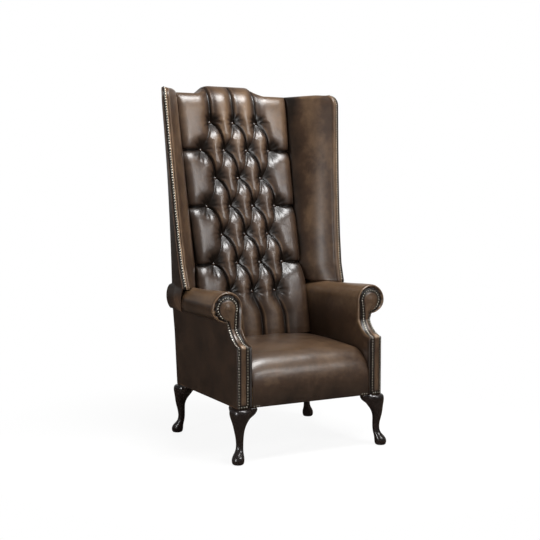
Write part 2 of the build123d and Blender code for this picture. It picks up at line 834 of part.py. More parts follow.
def seat_cover():
    wires = []
    for x in seat_levels():
        outer, a, d = seat_edges(x, 0)
        inner, a_in, d_in = seat_edges(x, leather)
        wires.append(Wire(outer + [line(d, d_in)] + inner + [line(a_in, a)]))
    return ruled(wires)


def seat_foam():
    wires = []
    rear_low = land_y(soft_floor) - back_flange_crown - seat_back_clearance
    for x in seat_levels():
        inner, a, d = seat_edges(x, leather)
        low, toe = (x, rear_low, soft_floor), (x, leather, soft_floor)
        flat = (x, leather, leg_height + border_flat)
        wires.append(Wire(inner[1:] + [line(d, low), line(low, toe), line(toe, flat)]))
    return ruled(wires)


def spring_line(x):
    """A zigzag wire from the front rail to the rear rail."""
    start = leather + rail_thickness / 2
    stop = rear_y(rail_top) - leather - rail_thickness / 2
    lead = clip_length
    wave = (stop - start - lead - lead) / spring_waves
    z, half = rail_top + spring_wire / 2, spring_wave_width / 2
    points, y, side = [(x, start, z)], start + lead, 1
    points.append((x, y, z))
    for i in range(spring_waves):
        points += [(x + side * half, y, z), (x + side * half, y + wave, z)]
        y += wave
        side = -side
    points += [(x, y, z), (x, stop, z)]
    return FilletPolyline(*points, radius=spring_bend)


def spring_places():
    return [(i - (spring_count - 1) / 2) * spring_spacing for i in range(spring_count)]


def seat_springs():
    springs = []
    for x in spring_places():
        path = spring_line(x)
        section = Plane(origin=path @ 0, z_dir=path % 0) * Circle(spring_wire / 2)
        springs.append(sweep(section, path=path))
    return Compound(springs)


def spring_clips():
    clips = []
    height = spring_wire + clip_plate
    front = leather + rail_thickness / 2
    rear = rear_y(rail_top) - leather - rail_thickness / 2
    for x in spring_places():
        for y in (front, rear):
            body = Pos(x, y, rail_top + height / 2) * Box(clip_width, clip_length, height)
            slot = Box(spring_wire + soft_clearance, clip_length + leather, spring_wire)
            slot = Pos(x, y, rail_top + spring_wire / 2) * slot
            clips.append(body - slot)
    return Compound(clips)


def spring_cover():
    x = arm_inside - soft_clearance
    rear = rear_y(rail_top) - leather
    return block(-x, x, leather, rear, spring_cover_bottom, spring_cover_top)


def dust_cover():
    x = frame_half_width - rail_thickness + dust_cover_lap
    y0 = leather + rail_thickness - dust_cover_lap
    y1 = base_depth - leather - rail_thickness + dust_cover_lap
    cut = ear_length + dust_cover_lap / 2
    outline = [(x, y0 + cut), (x, y1 - cut), (x - cut, y1), (cut - x, y1), (-x, y1 - cut), (-x, y0 + cut),
               (cut - x, y0), (x - cut, y0)]
    face = Face(ring([(px, py, leg_height - dust_cover_thickness) for px, py in outline]))
    return extrude(face, dust_cover_thickness, dir=(0, 0, 1))


def back_webbing():
    """Level bands of webbing tacked to the front faces of the rear posts."""
    bands = []
    for i in range(web_band_count):
        z0 = lowest_web + i * web_band_spacing
        z1 = z0 + web_band_width
        x = min(post_inside_x(z1) + post_width / 2, back_edge_x(z0), back_edge_x(z1))
        side = [(web_y(z0), z0), (post_front_y(z0), z0), (post_front_y(z1), z1), (web_y(z1), z1)]
        bands.append(prism_x(side, x))
    return Compound(bands)


# Legs: carved knee, slim ankle and round pad foot, turned to the corner

def leg(front):
    """Leg at the right front or right rear corner; inset runs inwards along the diagonal."""
    corner_x, corner_y = body_half_width, 0 if front else base_depth
    inward = (-1, 1) if front else (-1, -1)
    half = math.sqrt(0.5)
    sections = []
    for level, inset, girth, roundness in zip(leg_level_shares, leg_inset_shares, leg_girth_shares,
                                              leg_round_shares):
        cx = corner_x + inward[0] * inset * foot_radius * half
        cy = corner_y + inward[1] * inset * foot_radius * half
        radius, z = girth * foot_radius, level * leg_height
        points = []
        for k in range(8):
            angle = math.radians(45 + 45 * k)
            reach = radius if k % 2 == 0 else radius * roundness
            points.append(Vector(cx + reach * math.cos(angle), cy + reach * math.sin(angle), z))
        arcs = [Edge.make_three_point_arc(points[k], points[k + 1], points[(k + 2) % 8]) for k in (0, 2, 4, 6)]
        sections.append(Wire(arcs))
    shape = Solid.make_loft(sections)
    for along_x in (True, False):
        shape = shape + ear(corner_x, corner_y, inward, along_x)
    hole_x = corner_x + inward[0] * dowel_inset
    hole_y = corner_y + inward[1] * dowel_inset
    hole = Pos(hole_x, hole_y, leg_height - dowel_in_leg / 2) * Cylinder(dowel_radius, dowel_in_leg)
    return shape - hole


def ear(corner_x, corner_y, inward, along_x):
    """Shaped bracket beside the knee, under the rail."""
    profile = [(0, leg_height), (ear_length, leg_height), (ear_length, leg_height - ear_tip_height),
               (ear_root, leg_height - ear_drop), (0, leg_height - ear_drop)]
    if along_x:
        points = [(corner_x + inward[0] * d, corner_y, z) for d, z in profile]
        way = (0, inward[1], 0)
    else:
        points = [(corner_x, corner_y + inward[1] * d, z) for d, z in profile]
        way = (inward[0], 0, 0)
    edges = [line(p, q) for p, q in zip(points, points[1:] + points[:1])]
    a, b = points[2], points[3]
    run = math.hypot(ear_length - ear_root, ear_drop - ear_tip_height)
    sideways = (ear_drop - ear_tip_height) / run
    up = (ear_length - ear_root) / run
    flow = (inward[0] * -sideways, 0, up) if along_x else (0, inward[1] * -sideways, up)
    edges[2] = bowed(a, b, run * ear_hollow_share, flow)
    return extrude(Face(Wire(edges)), ear_thickness, dir=way)


def leg_dowels():
    length = dowel_in_leg + dowel_in_post
    z = leg_height + (dowel_in_post - dowel_in_leg) / 2
    dowels = []
    for side in (1, -1):
        for y in (dowel_inset, base_depth - dowel_inset):
            x = side * (body_half_width - dowel_inset)
            dowels.append(Pos(x, y, z) * Cylinder(dowel_radius, length))
    return Compound(dowels)


# Studs: domed heads that sit on the leather

def stud():
    radius = (stud_radius ** 2 + stud_rise ** 2) / (2 * stud_rise)
    cut = Pos(0, 0, radius - stud_rise / 2) * Box(radius * 2, radius * 2, stud_rise)
    return Pos(0, 0, stud_rise - radius) * (Sphere(radius) & cut)


def studs_on(places):
    """Studs at (point, outward direction) pairs."""
    head = stud()
    lift = Pos(0, 0, stud_seat)
    return Compound([Plane(origin=point, z_dir=out).location * lift * head for point, out in places])


def spaced(start, stop, pitch):
    count = max(int((stop - start) / pitch), 1)
    return [start + (stop - start) * i / count for i in range(count + 1)]


def arm_stud_places():
    """A row along the base, two rows up the facing and its sweep, and the keyhole round the scroll."""
    margin = stud_radius + stud_seat
    inner, outer = facing_inside + stud_margin, body_half_width - margin
    base = leg_height + margin
    places = [((x, 0, base), (0, -1, 0)) for x in spaced(body_half_width - base_row_length, outer, stud_pitch)
              if x < arm_inside - stud_radius or x > facing_inside]
    for x in (inner, outer):
        for z in spaced(base + stud_pitch, arm_kink_height - margin, stud_pitch):
            places.append(((x, 0, z), (0, -1, 0)))
    sweep_edge = front_sweep()
    for share in middles(sweep_edge):
        point, tangent = sweep_edge @ share, sweep_edge % share
        out = Vector(0, -tangent.Z, tangent.Y)
        for x in (inner + neck_inset * share, outer):
            places.append(((x, point.Y, point.Z), (out.X, out.Y, out.Z)))
    path = keyhole(neck_inside + stud_margin, outer)
    for share in middles(path):
        point = path @ share
        places.append(((point.X, point.Y, point.Z), (0, -1, 0)))
    return places


def middles(path):
    """Shares of a path's length at which a row of studs stands, half a pitch in from its ends."""
    count = round(path.length / stud_pitch)
    return [(i + 0.5) / count for i in range(count)]


def keyhole(inner, outer):
    """Line of studs from the neck's inner side round the scroll to its outer side."""
    radius = facing_scroll_radius - stud_radius - stud_margin / 3
    turns = keyhole_inner_turn, (keyhole_inner_turn + keyhole_outer_turn) / 2, keyhole_outer_turn
    start, crown, stop = [scroll_point(radius, turn) for turn in turns]
    a, b, c = [(x, scroll_setback, z) for x, z in (start, crown, stop)]
    up = line((inner, scroll_setback, neck_height), a)
    down = line(c, (outer, scroll_setback, neck_height))
    return Wire([up, Edge.make_three_point_arc(a, b, c), down])


def front_sweep():
    chord = math.hypot(scroll_setback, neck_height - arm_kink_height)
    out = (0, (neck_height - arm_kink_height) / chord, -scroll_setback / chord)
    return bowed((0, 0, arm_kink_height), (0, scroll_setback, neck_height), arm_front_bow, out)


def wing_stud_places():
    """Along the middle of the front edge and round its top corner, evenly spaced."""
    levels = wing_levels()
    middles = []
    for z in levels:
        p = WingPlan(z)
        middles.append((Vector(*p.at(p.length, wing_edge_width / 2)), p))
    places, carried = [], stud_pitch / 2 + stud_radius
    for (a, p), (b, q) in zip(middles, middles[1:]):
        span = (b - a).length
        way = (b - a) * (1 / span)
        inward = Vector(p.n[0] + q.n[0], p.n[1] + q.n[1], 0)
        out = inward.cross(way)
        out = out if out.Y < 0 else out * -1
        while carried < span - stud_radius / 2:
            point = a + way * carried
            places.append(((point.X, point.Y, point.Z), (out.X, out.Y, out.Z)))
            carried += stud_pitch
        carried = max(carried - span, stud_radius / 2)
    return places


def left(shape):
    return mirror(shape, about=Plane.YZ)


def build():
    """Every piece by name, in the drawing's own place."""
    pieces = {
        "seat_rail_front": seat_rail_front(),
        "seat_rail_rear": seat_rail_rear(),
        "corner_blocks": corner_blocks(),
        "leg_dowels": leg_dowels(),
        "back_top_rail": back_top_rail(),
        "back_bottom_rail": back_bottom_rail(),
        "back_webbing": back_webbing(),
        "seat_springs": seat_springs(),
        "spring_clips": spring_clips(),
        "spring_cover": spring_cover(),
        "dust_cover": dust_cover(),
        "seat_foam": seat_foam(),
        "seat_cover": seat_cover(),
        "back_foam": back_foam(),
        "inside_back_cover": inside_back_cover(),
        "back_buttons": back_buttons(),
        "crest_roll": crest_roll(),
        "outside_back_cover": outside_back_cover(),
    }
    paired = {
        "leg_front": leg(True),
        "leg_rear": leg(False),
        "seat_rail": seat_rail_side(),
        "back_post": back_post(),
        "arm_post": arm_post(),
        "arm_rail": arm_rail(),
        "arm_tack_rail": arm_tack_rail(),
        "scroll_block": scroll_block(),
        "wing_board": wing_board_piece(),
        "arm_pad": arm_pad(),
        "wing_pad": wing_pad(),
        "inside_arm_cover": inside_arm_cover(),
        "outside_arm_cover": outside_arm_cover(),
        "arm_facing": arm_facing(),
        "inside_wing_cover": inside_wing_cover(),
        "outside_wing_cover": outside_wing_cover(),
        "wing_facing": wing_facing(),
        "arm_studs": studs_on(arm_stud_places()),
        "wing_studs": studs_on(wing_stud_places()),
    }
    for name, shape in paired.items():
        pieces[name + "_right"] = shape
        pieces[name + "_left"] = left(shape)
    return pieces


pieces = build()
boxes = [shape.bounding_box() for shape in pieces.values()]
middle_y = (min(b.min.Y for b in boxes) + max(b.max.Y for b in boxes)) / 2
os.makedirs("parts", exist_ok=True)
for name, shape in pieces.items():
    export_step(Pos(0, -middle_y, 0) * shape, "parts/" + name + ".step")
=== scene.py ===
import math
import random

import bpy
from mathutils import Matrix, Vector, noise


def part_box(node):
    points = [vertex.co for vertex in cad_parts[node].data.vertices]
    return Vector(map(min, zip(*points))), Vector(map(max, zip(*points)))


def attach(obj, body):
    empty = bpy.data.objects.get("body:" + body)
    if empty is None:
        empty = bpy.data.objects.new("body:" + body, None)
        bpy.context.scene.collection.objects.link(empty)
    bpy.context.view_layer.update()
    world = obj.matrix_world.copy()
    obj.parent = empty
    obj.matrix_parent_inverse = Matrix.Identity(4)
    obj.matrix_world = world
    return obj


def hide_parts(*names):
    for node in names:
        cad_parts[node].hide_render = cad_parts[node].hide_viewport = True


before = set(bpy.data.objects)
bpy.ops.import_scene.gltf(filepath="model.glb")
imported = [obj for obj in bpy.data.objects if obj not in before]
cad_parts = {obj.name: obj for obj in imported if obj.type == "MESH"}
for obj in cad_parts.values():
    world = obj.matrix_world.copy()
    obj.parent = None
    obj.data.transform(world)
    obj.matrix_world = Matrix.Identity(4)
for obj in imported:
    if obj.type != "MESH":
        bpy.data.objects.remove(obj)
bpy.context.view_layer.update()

# Camera: a long lens at sitting height, in front of the chair and to its left, looking slightly down.
# The workshop drawing is in millimetres with Y = 0 on the front plane of the arms.
MM = 0.001
front_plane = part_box("arm_facing_left")[0].y


def spot(x, y, z):
    """A point of the workshop drawing, in the frame."""
    return Vector((x * MM, y * MM + front_plane, z * MM))


camera_data = bpy.data.cameras.new("camera")
camera = bpy.data.objects.new("camera", camera_data)
bpy.context.scene.collection.objects.link(camera)
camera.location = spot(-2006.3, -3394.9, 1056.4)
camera.rotation_euler = (math.radians(90 - 4.58), 0, math.radians(-28.14))
camera_data.lens = 66.76
camera_data.sensor_width = 36
bpy.context.scene.camera = camera


# Studio: a pale floor and a white surround with large soft lamps: the main one overhead, others left, in front, behind.
# The floor is white paper, matt, keeps the chair's shadow, and is brown in reflections.
def linear(code):
    """The linear colour of an sRGB hex code."""
    parts = [int(code[i:i + 2], 16) / 255 for i in (1, 3, 5)]
    return [p / 12.92 if p <= 0.04045 else ((p + 0.055) / 1.055) ** 2.4 for p in parts] + [1.0]


def add_node(tree, kind, inputs=(), **settings):
    """Adds a node; an input is a value or the socket that feeds it."""
    node = tree.nodes.new(kind)
    for name, value in settings.items():
        setattr(node, name, value)
    for name, value in dict(inputs).items():
        if isinstance(value, bpy.types.NodeSocket):
            tree.links.new(value, node.inputs[name])
        else:
            node.inputs[name].default_value = value
    return node


def clean_tree(owner, kind):
    owner.use_nodes = True
    owner.node_tree.nodes.clear()
    return owner.node_tree, add_node(owner.node_tree, kind)


world = bpy.data.worlds.new("studio_surround")
bpy.context.scene.world = world
tree, output = clean_tree(world, "ShaderNodeOutputWorld")
path = add_node(tree, "ShaderNodeLightPath")
coords = add_node(tree, "ShaderNodeTexCoord")
# Reflections see a dim room with one pale wall, straight behind the chair.
behind = add_node(tree, "ShaderNodeVectorMath", {0: coords.outputs["Generated"], 1: (0.47, 0.88, 0.0)},
                  operation="DOT_PRODUCT")
backdrop = add_node(tree, "ShaderNodeMapRange", {0: behind.outputs["Value"], 1: 0.8, 2: 0.98, 3: 0.045, 4: 0.6})
glossy = add_node(tree, "ShaderNodeMath", {0: path.outputs["Is Glossy Ray"], 1: backdrop.outputs[0]},
                  operation="MULTIPLY")
seen = add_node(tree, "ShaderNodeMath", {0: path.outputs["Is Camera Ray"], 1: path.outputs["Is Transmission Ray"]},
                operation="MAXIMUM")
shown = add_node(tree, "ShaderNodeMath", {0: seen.outputs[0], 1: glossy.outputs[0]}, operation="MAXIMUM")
dim = add_node(tree, "ShaderNodeBackground", {"Color": linear("#f2efec"), "Strength": 0.22})
white = add_node(tree, "ShaderNodeBackground", {"Color": linear("#ffffff"), "Strength": 1.0})
mixed = add_node(tree, "ShaderNodeMixShader", {0: shown.outputs[0], 1: dim.outputs[0], 2: white.outputs[0]})
tree.links.new(mixed.outputs[0], output.inputs["Surface"])

bpy.ops.object.select_all(action="DESELECT")
bpy.ops.mesh.primitive_plane_add(size=60)
floor = bpy.context.object
floor.name = "floor"
floor_paper = bpy.data.materials.new("floor_paper")
tree, output = clean_tree(floor_paper, "ShaderNodeOutputMaterial")
path = add_node(tree, "ShaderNodeLightPath")
mirrored = add_node(tree, "ShaderNodeMix", {
    0: path.outputs["Is Glossy Ray"], 6: linear("#f4f4f3"), 7: linear("#5c5148")}, data_type="RGBA")
paper = add_node(tree, "ShaderNodeBsdfDiffuse", {"Color": mirrored.outputs[2]})
glow = add_node(tree, "ShaderNodeEmission", {"Color": linear("#ffffff"), "Strength": 1.0})
coords = add_node(tree, "ShaderNodeTexCoord")
away = add_node(tree, "ShaderNodeVectorMath", {0: coords.outputs["Object"]}, operation="LENGTH")
bright = add_node(tree, "ShaderNodeMapRange", {0: away.outputs["Value"], 1: 0.5, 2: 1.3, 3: 0.9, 4: 1.0})
seen = add_node(tree, "ShaderNodeMath", {0: path.outputs["Is Camera Ray"], 1: bright.outputs[0]},
                operation="MULTIPLY")
mixed = add_node(tree, "ShaderNodeMixShader", {0: seen.outputs[0], 1: paper.outputs[0], 2: glow.outputs[0]})
tree.links.new(mixed.outputs[0], output.inputs["Surface"])
floor.data.materials.append(floor_paper)

lamps = (
    ("top_lamp", (0.3, -0.9, 3.3), (0, 0.0, 0.7), (1.8, 0.7), 125),
    ("side_lamp", (-2.8, -1.3, 0.9), (0, 0, 0.8), (0.3, 1.3), 34),
    ("front_lamp", (1.2, -3.4, 2.7), (0, 0, 0.7), (1.7, 0.9), 60),
    ("rear_lamp", (1.2, 3.2, 1.6), (0, 0, 0.8), (1.6, 1.6), 55),
)
for name, place, aim, size, power in lamps:
    lamp_data = bpy.data.lights.new(name, "AREA")
    lamp_data.shape = "RECTANGLE"
    lamp_data.size, lamp_data.size_y = size
    lamp_data.energy = power
    lamp = bpy.data.objects.new(name, lamp_data)
    bpy.context.scene.collection.objects.link(lamp)
    lamp.location = place
    lamp.rotation_euler = (Vector(aim) - Vector(place)).to_track_quat("-Z", "Y").to_euler()
    lamp.visible_glossy = name != "rear_lamp"


# Legs: four carved cabriole legs in mahogany, stained nearly black and polished.
# Each has a round knee, an ear on both sides under the rail, a slim ankle and a pad foot turned to the corner.
def own_mesh(name):
    """Names the active object and gives it back."""
    piece = bpy.context.object
    piece.name = piece.data.name = name
    return piece


def apply_modifier(piece, kind, **settings):
    bpy.ops.object.select_all(action="DESELECT")
    piece.select_set(True)
    bpy.context.view_layer.objects.active = piece
    modifier = piece.modifiers.new(kind, kind)
    for name, value in settings.items():
        setattr(modifier, name, value)
    bpy.ops.object.modifier_apply(modifier=modifier.name)


def laid_out(name, columns, rows, place, side=1, ring=False, ends=False):
    """A grid whose crossings go to place(i, j), a point in millimetres and its rub-and-light value there: the hide's
    rubbing together with painted light and shade.
    A ring's two edges are sewn together, and ends closes it at both ends. The left piece mirrors the right one."""
    bpy.ops.object.select_all(action="DESELECT")
    bpy.ops.mesh.primitive_grid_add(x_subdivisions=columns, y_subdivisions=rows, size=2)
    piece = own_mesh(name)
    rub_and_light_values = []
    for vertex in piece.data.vertices:
        i = round((vertex.co.x * side + 1) / 2 * columns)
        j = round((vertex.co.y + 1) / 2 * rows)
        (x, y, z), rub_and_light = place(i, j)
        vertex.co = spot(x * side, y, z)
        rub_and_light_values.append(rub_and_light)
    layer = piece.data.attributes.new("rub_and_light", "FLOAT", "POINT")
    layer.data.foreach_set("value", rub_and_light_values)
    if ring:
        bpy.ops.object.mode_set(mode="EDIT")
        bpy.ops.mesh.select_all(action="SELECT")
        bpy.ops.mesh.remove_doubles(threshold=0.00001)
        if ends:
            bpy.ops.mesh.select_all(action="DESELECT")
            bpy.ops.mesh.select_non_manifold(extend=False)
            bpy.ops.mesh.edge_face_add()
        bpy.ops.object.mode_set(mode="OBJECT")
    bpy.ops.object.shade_smooth()
    return piece


def finish_piece(piece, material, slot, *nodes):
    """Dresses a piece, and hides the CAD nodes it stands for. The slot is not used."""
    piece.data.materials.clear()
    piece.data.materials.append(material)
    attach(piece, "root")
    if nodes:
        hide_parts(*nodes)
    return piece


def bump_from(tree, height, strength, distance):
    return add_node(tree, "ShaderNodeBump", {"Height": height, "Strength": strength, "Distance": distance})


# Mahogany, planed and carved, stained and waxed: dark pores along the length under a hard shine.
polished_mahogany = bpy.data.materials.new("polished_mahogany")
tree, output = clean_tree(polished_mahogany, "ShaderNodeOutputMaterial")
coords = add_node(tree, "ShaderNodeTexCoord")
along = add_node(tree, "ShaderNodeMapping", {"Vector": coords.outputs["Object"], "Scale": (1.0, 1.0, 0.12)})
figure = add_node(tree, "ShaderNodeTexNoise", {"Vector": along.outputs[0], "Scale": 90.0, "Detail": 4.0})
pores = add_node(tree, "ShaderNodeTexNoise", {"Vector": along.outputs[0], "Scale": 420.0, "Detail": 2.0})
stain = add_node(tree, "ShaderNodeMix", {0: figure.outputs["Fac"], 6: linear("#080606"), 7: linear("#1b110f")},
                 data_type="RGBA")
gloss = add_node(tree, "ShaderNodeMapRange", {0: figure.outputs["Fac"], 3: 0.16, 4: 0.32})
grain = bump_from(tree, pores.outputs["Fac"], 0.15, 0.0004)
wood = add_node(tree, "ShaderNodeBsdfPrincipled", {
    "Base Color": stain.outputs[2], "Roughness": gloss.outputs[0], "Normal": grain.outputs[0],
    "Coat Weight": 0.3, "Coat Roughness": 0.12})
tree.links.new(wood.outputs[0], output.inputs["Surface"])

leg_height = 216.0
half_width = 330.0
base_depth = 598.0
foot_radius = 26.0
leg_rings = ((0, 0.0, 0.74), (5, 0.0, 0.91), (15, 0.0, 1.0), (28, 0.05, 0.96), (39, 0.27, 0.81), (52, 0.62, 0.61),
             (71, 0.8, 0.56), (97, 0.75, 0.61), (121, 0.6, 0.74), (138, 0.6, 0.88), (156, 0.75, 1.10),
             (176, 1.05, 1.50), (192, 1.18, 1.74), (205, 1.22, 1.72), (216, 1.24, 1.58))
ear_outline = ((0, 216), (83, 216), (86, 212), (86, 205), (83, 198), (76, 190), (67, 183), (56, 176), (45, 167),
               (37, 157), (32, 146), (27, 135), (0, 125))
ear_thickness = 29.0


def carved_leg(name, side, rear):
    """One leg at its corner; inset rings run inwards along the diagonal."""
    corner = (side * half_width, base_depth if rear else 0)
    inward = (-side, -1 if rear else 1)
    diagonal = foot_radius * math.sqrt(0.5)

    def around(i, j):
        z, inset, girth = leg_rings[j]
        angle = 2 * math.pi * i / 16
        x = corner[0] + inward[0] * inset * diagonal + girth * foot_radius * math.cos(angle)
        y = corner[1] + inward[1] * inset * diagonal + girth * foot_radius * math.sin(angle)
        return (x, y, z), 0.0

    shank = laid_out(name, 16, len(leg_rings) - 1, around, ring=True, ends=True)
    apply_modifier(shank, "SUBSURF", levels=2, render_levels=2)
    parts = [shank]
    for along_x in (True, False):
        bpy.ops.object.select_all(action="DESELECT")
        bpy.ops.mesh.primitive_circle_add(vertices=len(ear_outline), radius=1, fill_type="NGON")
        ear = own_mesh(name + "_ear")
        for vertex, (d, z) in zip(ear.data.vertices, ear_outline):
            if along_x:
                vertex.co = spot(corner[0] + inward[0] * d, corner[1], z)
            else:
                vertex.co = spot(corner[0], corner[1] + inward[1] * d, z)
        way = (0, inward[1], 0) if along_x else (inward[0], 0, 0)
        apply_modifier(ear, "SOLIDIFY", thickness=ear_thickness * MM, offset=0)
        for vertex in ear.data.vertices:
            vertex.co += Vector(way) * ear_thickness * MM / 2
        parts.append(ear)
    bpy.ops.object.select_all(action="DESELECT")
    for part in parts:
        part.select_set(True)
    bpy.context.view_layer.objects.active = shank
    bpy.ops.object.join()
    apply_modifier(shank, "REMESH", mode="VOXEL", voxel_size=0.0026)
    apply_modifier(shank, "SMOOTH", factor=0.5, iterations=9)
    shank.data.shade_smooth()
    end = "rear" if rear else "front"
    hand = "right" if side > 0 else "left"
    return finish_piece(shank, polished_mahogany, "mahogany", f"leg_{end}_{hand}")


for rear in (False, True):
    for side in (-1, 1):
        carved_leg(f"cabriole_leg_{'rear' if rear else 'front'}_{'right' if side > 0 else 'left'}", side, rear)


# Frame: beech rails, posts and blocks, plywood wings, steel springs, jute webbing and cloth, as the CAD made them.
# They are hidden by the leather except from below, and get their real finishes.
def plain_timber(name, dark, light, spread, scale, roughness):
    """Sawn timber: fine fibres, drawn out along the axis where spread is small."""
    material = bpy.data.materials.new(name)
    tree, output = clean_tree(material, "ShaderNodeOutputMaterial")
    coords = add_node(tree, "ShaderNodeTexCoord")
    along = add_node(tree, "ShaderNodeMapping", {"Vector": coords.outputs["Object"], "Scale": spread})
    figure = add_node(tree, "ShaderNodeTexNoise", {"Vector": along.outputs[0], "Scale": scale, "Detail": 5.0})
    tone = add_node(tree, "ShaderNodeMix", {0: figure.outputs["Fac"], 6: linear(dark), 7: linear(light)},
                    data_type="RGBA")
    grain = bump_from(tree, figure.outputs["Fac"], 0.3, 0.0005)
    skin = add_node(tree, "ShaderNodeBsdfPrincipled", {
        "Base Color": tone.outputs[2], "Roughness": roughness, "Normal": grain.outputs[0]})
    tree.links.new(skin.outputs[0], output.inputs["Surface"])
    return material


def woven_cloth(name, dark, light, thread, roughness):
    """Plain weave: two crossed bands of threads, one thread spacing apart. A wave of scale 1 is 0.314 m long."""
    material = bpy.data.materials.new(name)
    tree, output = clean_tree(material, "ShaderNodeOutputMaterial")
    coords = add_node(tree, "ShaderNodeTexCoord")
    bands = []
    for axis in ("X", "Y"):
        band = add_node(tree, "ShaderNodeTexWave", {"Vector": coords.outputs["Object"], "Scale": 0.314 / thread,
                                                    "Distortion": 0.6}, bands_direction=axis)
        bands.append(band.outputs["Fac"])
    weave = add_node(tree, "ShaderNodeMath", {0: bands[0], 1: bands[1]}, operation="MULTIPLY")
    tone = add_node(tree, "ShaderNodeMix", {0: weave.outputs[0], 6: linear(dark), 7: linear(light)},
                    data_type="RGBA")
    relief = bump_from(tree, weave.outputs[0], 0.5, 0.0008)
    skin = add_node(tree, "ShaderNodeBsdfPrincipled", {
        "Base Color": tone.outputs[2], "Roughness": roughness, "Normal": relief.outputs[0]})
    tree.links.new(skin.outputs[0], output.inputs["Surface"])
    return material


def worn_metal(name, dark, light, low, high):
    """Metal with a worn surface: patches that are duller and darker in the dents."""
    material = bpy.data.materials.new(name)
    tree, output = clean_tree(material, "ShaderNodeOutputMaterial")
    coords = add_node(tree, "ShaderNodeTexCoord")
    patches = add_node(tree, "ShaderNodeTexNoise", {"Vector": coords.outputs["Object"], "Scale": 160.0})
    tone = add_node(tree, "ShaderNodeMix", {0: patches.outputs["Fac"], 6: linear(dark), 7: linear(light)},
                    data_type="RGBA")
    gloss = add_node(tree, "ShaderNodeMapRange", {0: patches.outputs["Fac"], 3: low, 4: high})
    dents = bump_from(tree, patches.outputs["Fac"], 0.2, 0.0003)
    skin = add_node(tree, "ShaderNodeBsdfPrincipled", {
        "Base Color": tone.outputs[2], "Metallic": 1.0, "Roughness": gloss.outputs[0], "Normal": dents.outputs[0]})
    tree.links.new(skin.outputs[0], output.inputs["Surface"])
    return material


# Beech and birch look pale and dry, jute coarse and straw brown, cambric matt black, steel dull grey.
sawn_beech = plain_timber("sawn_beech", "#b08a5e", "#d2ad7f", (1.0, 0.08, 1.0), 160.0, 0.6)
birch_plywood = plain_timber("birch_plywood", "#b8935f", "#d8b98a", (1.0, 1.0, 0.08), 110.0, 0.6)
jute_webbing = woven_cloth("jute_webbing", "#6b5536", "#b79a68", 0.003, 0.9)
jute_hessian = woven_cloth("jute_hessian", "#6e5838", "#a98c5c", 0.0024, 0.95)
black_cambric = woven_cloth("black_cambric", "#0d0d0d", "#2a2a2a", 0.0016, 0.9)
drawn_steel = worn_metal("drawn_steel", "#5c5e62", "#9a9da3", 0.25, 0.45)
pressed_steel = worn_metal("pressed_steel", "#8a8578", "#c9c4b4", 0.25, 0.4)
timber_nodes = ("seat_rail_front", "seat_rail_rear", "corner_blocks", "leg_dowels", "back_top_rail",
                "back_bottom_rail", "seat_rail_left", "seat_rail_right", "back_post_left", "back_post_right",
                "arm_post_left", "arm_post_right", "arm_rail_left", "arm_rail_right", "arm_tack_rail_left",
                "arm_tack_rail_right", "scroll_block_left", "scroll_block_right")
frame_finishes = {node: sawn_beech for node in timber_nodes}
frame_finishes.update(wing_board_left=birch_plywood, wing_board_right=birch_plywood, back_webbing=jute_webbing,
                      spring_cover=jute_hessian, dust_cover=black_cambric, seat_springs=drawn_steel,
                      spring_clips=pressed_steel)
for node, material in frame_finishes.items():
    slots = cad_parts[node].data.materials
    slots.clear()
    slots.append(material)
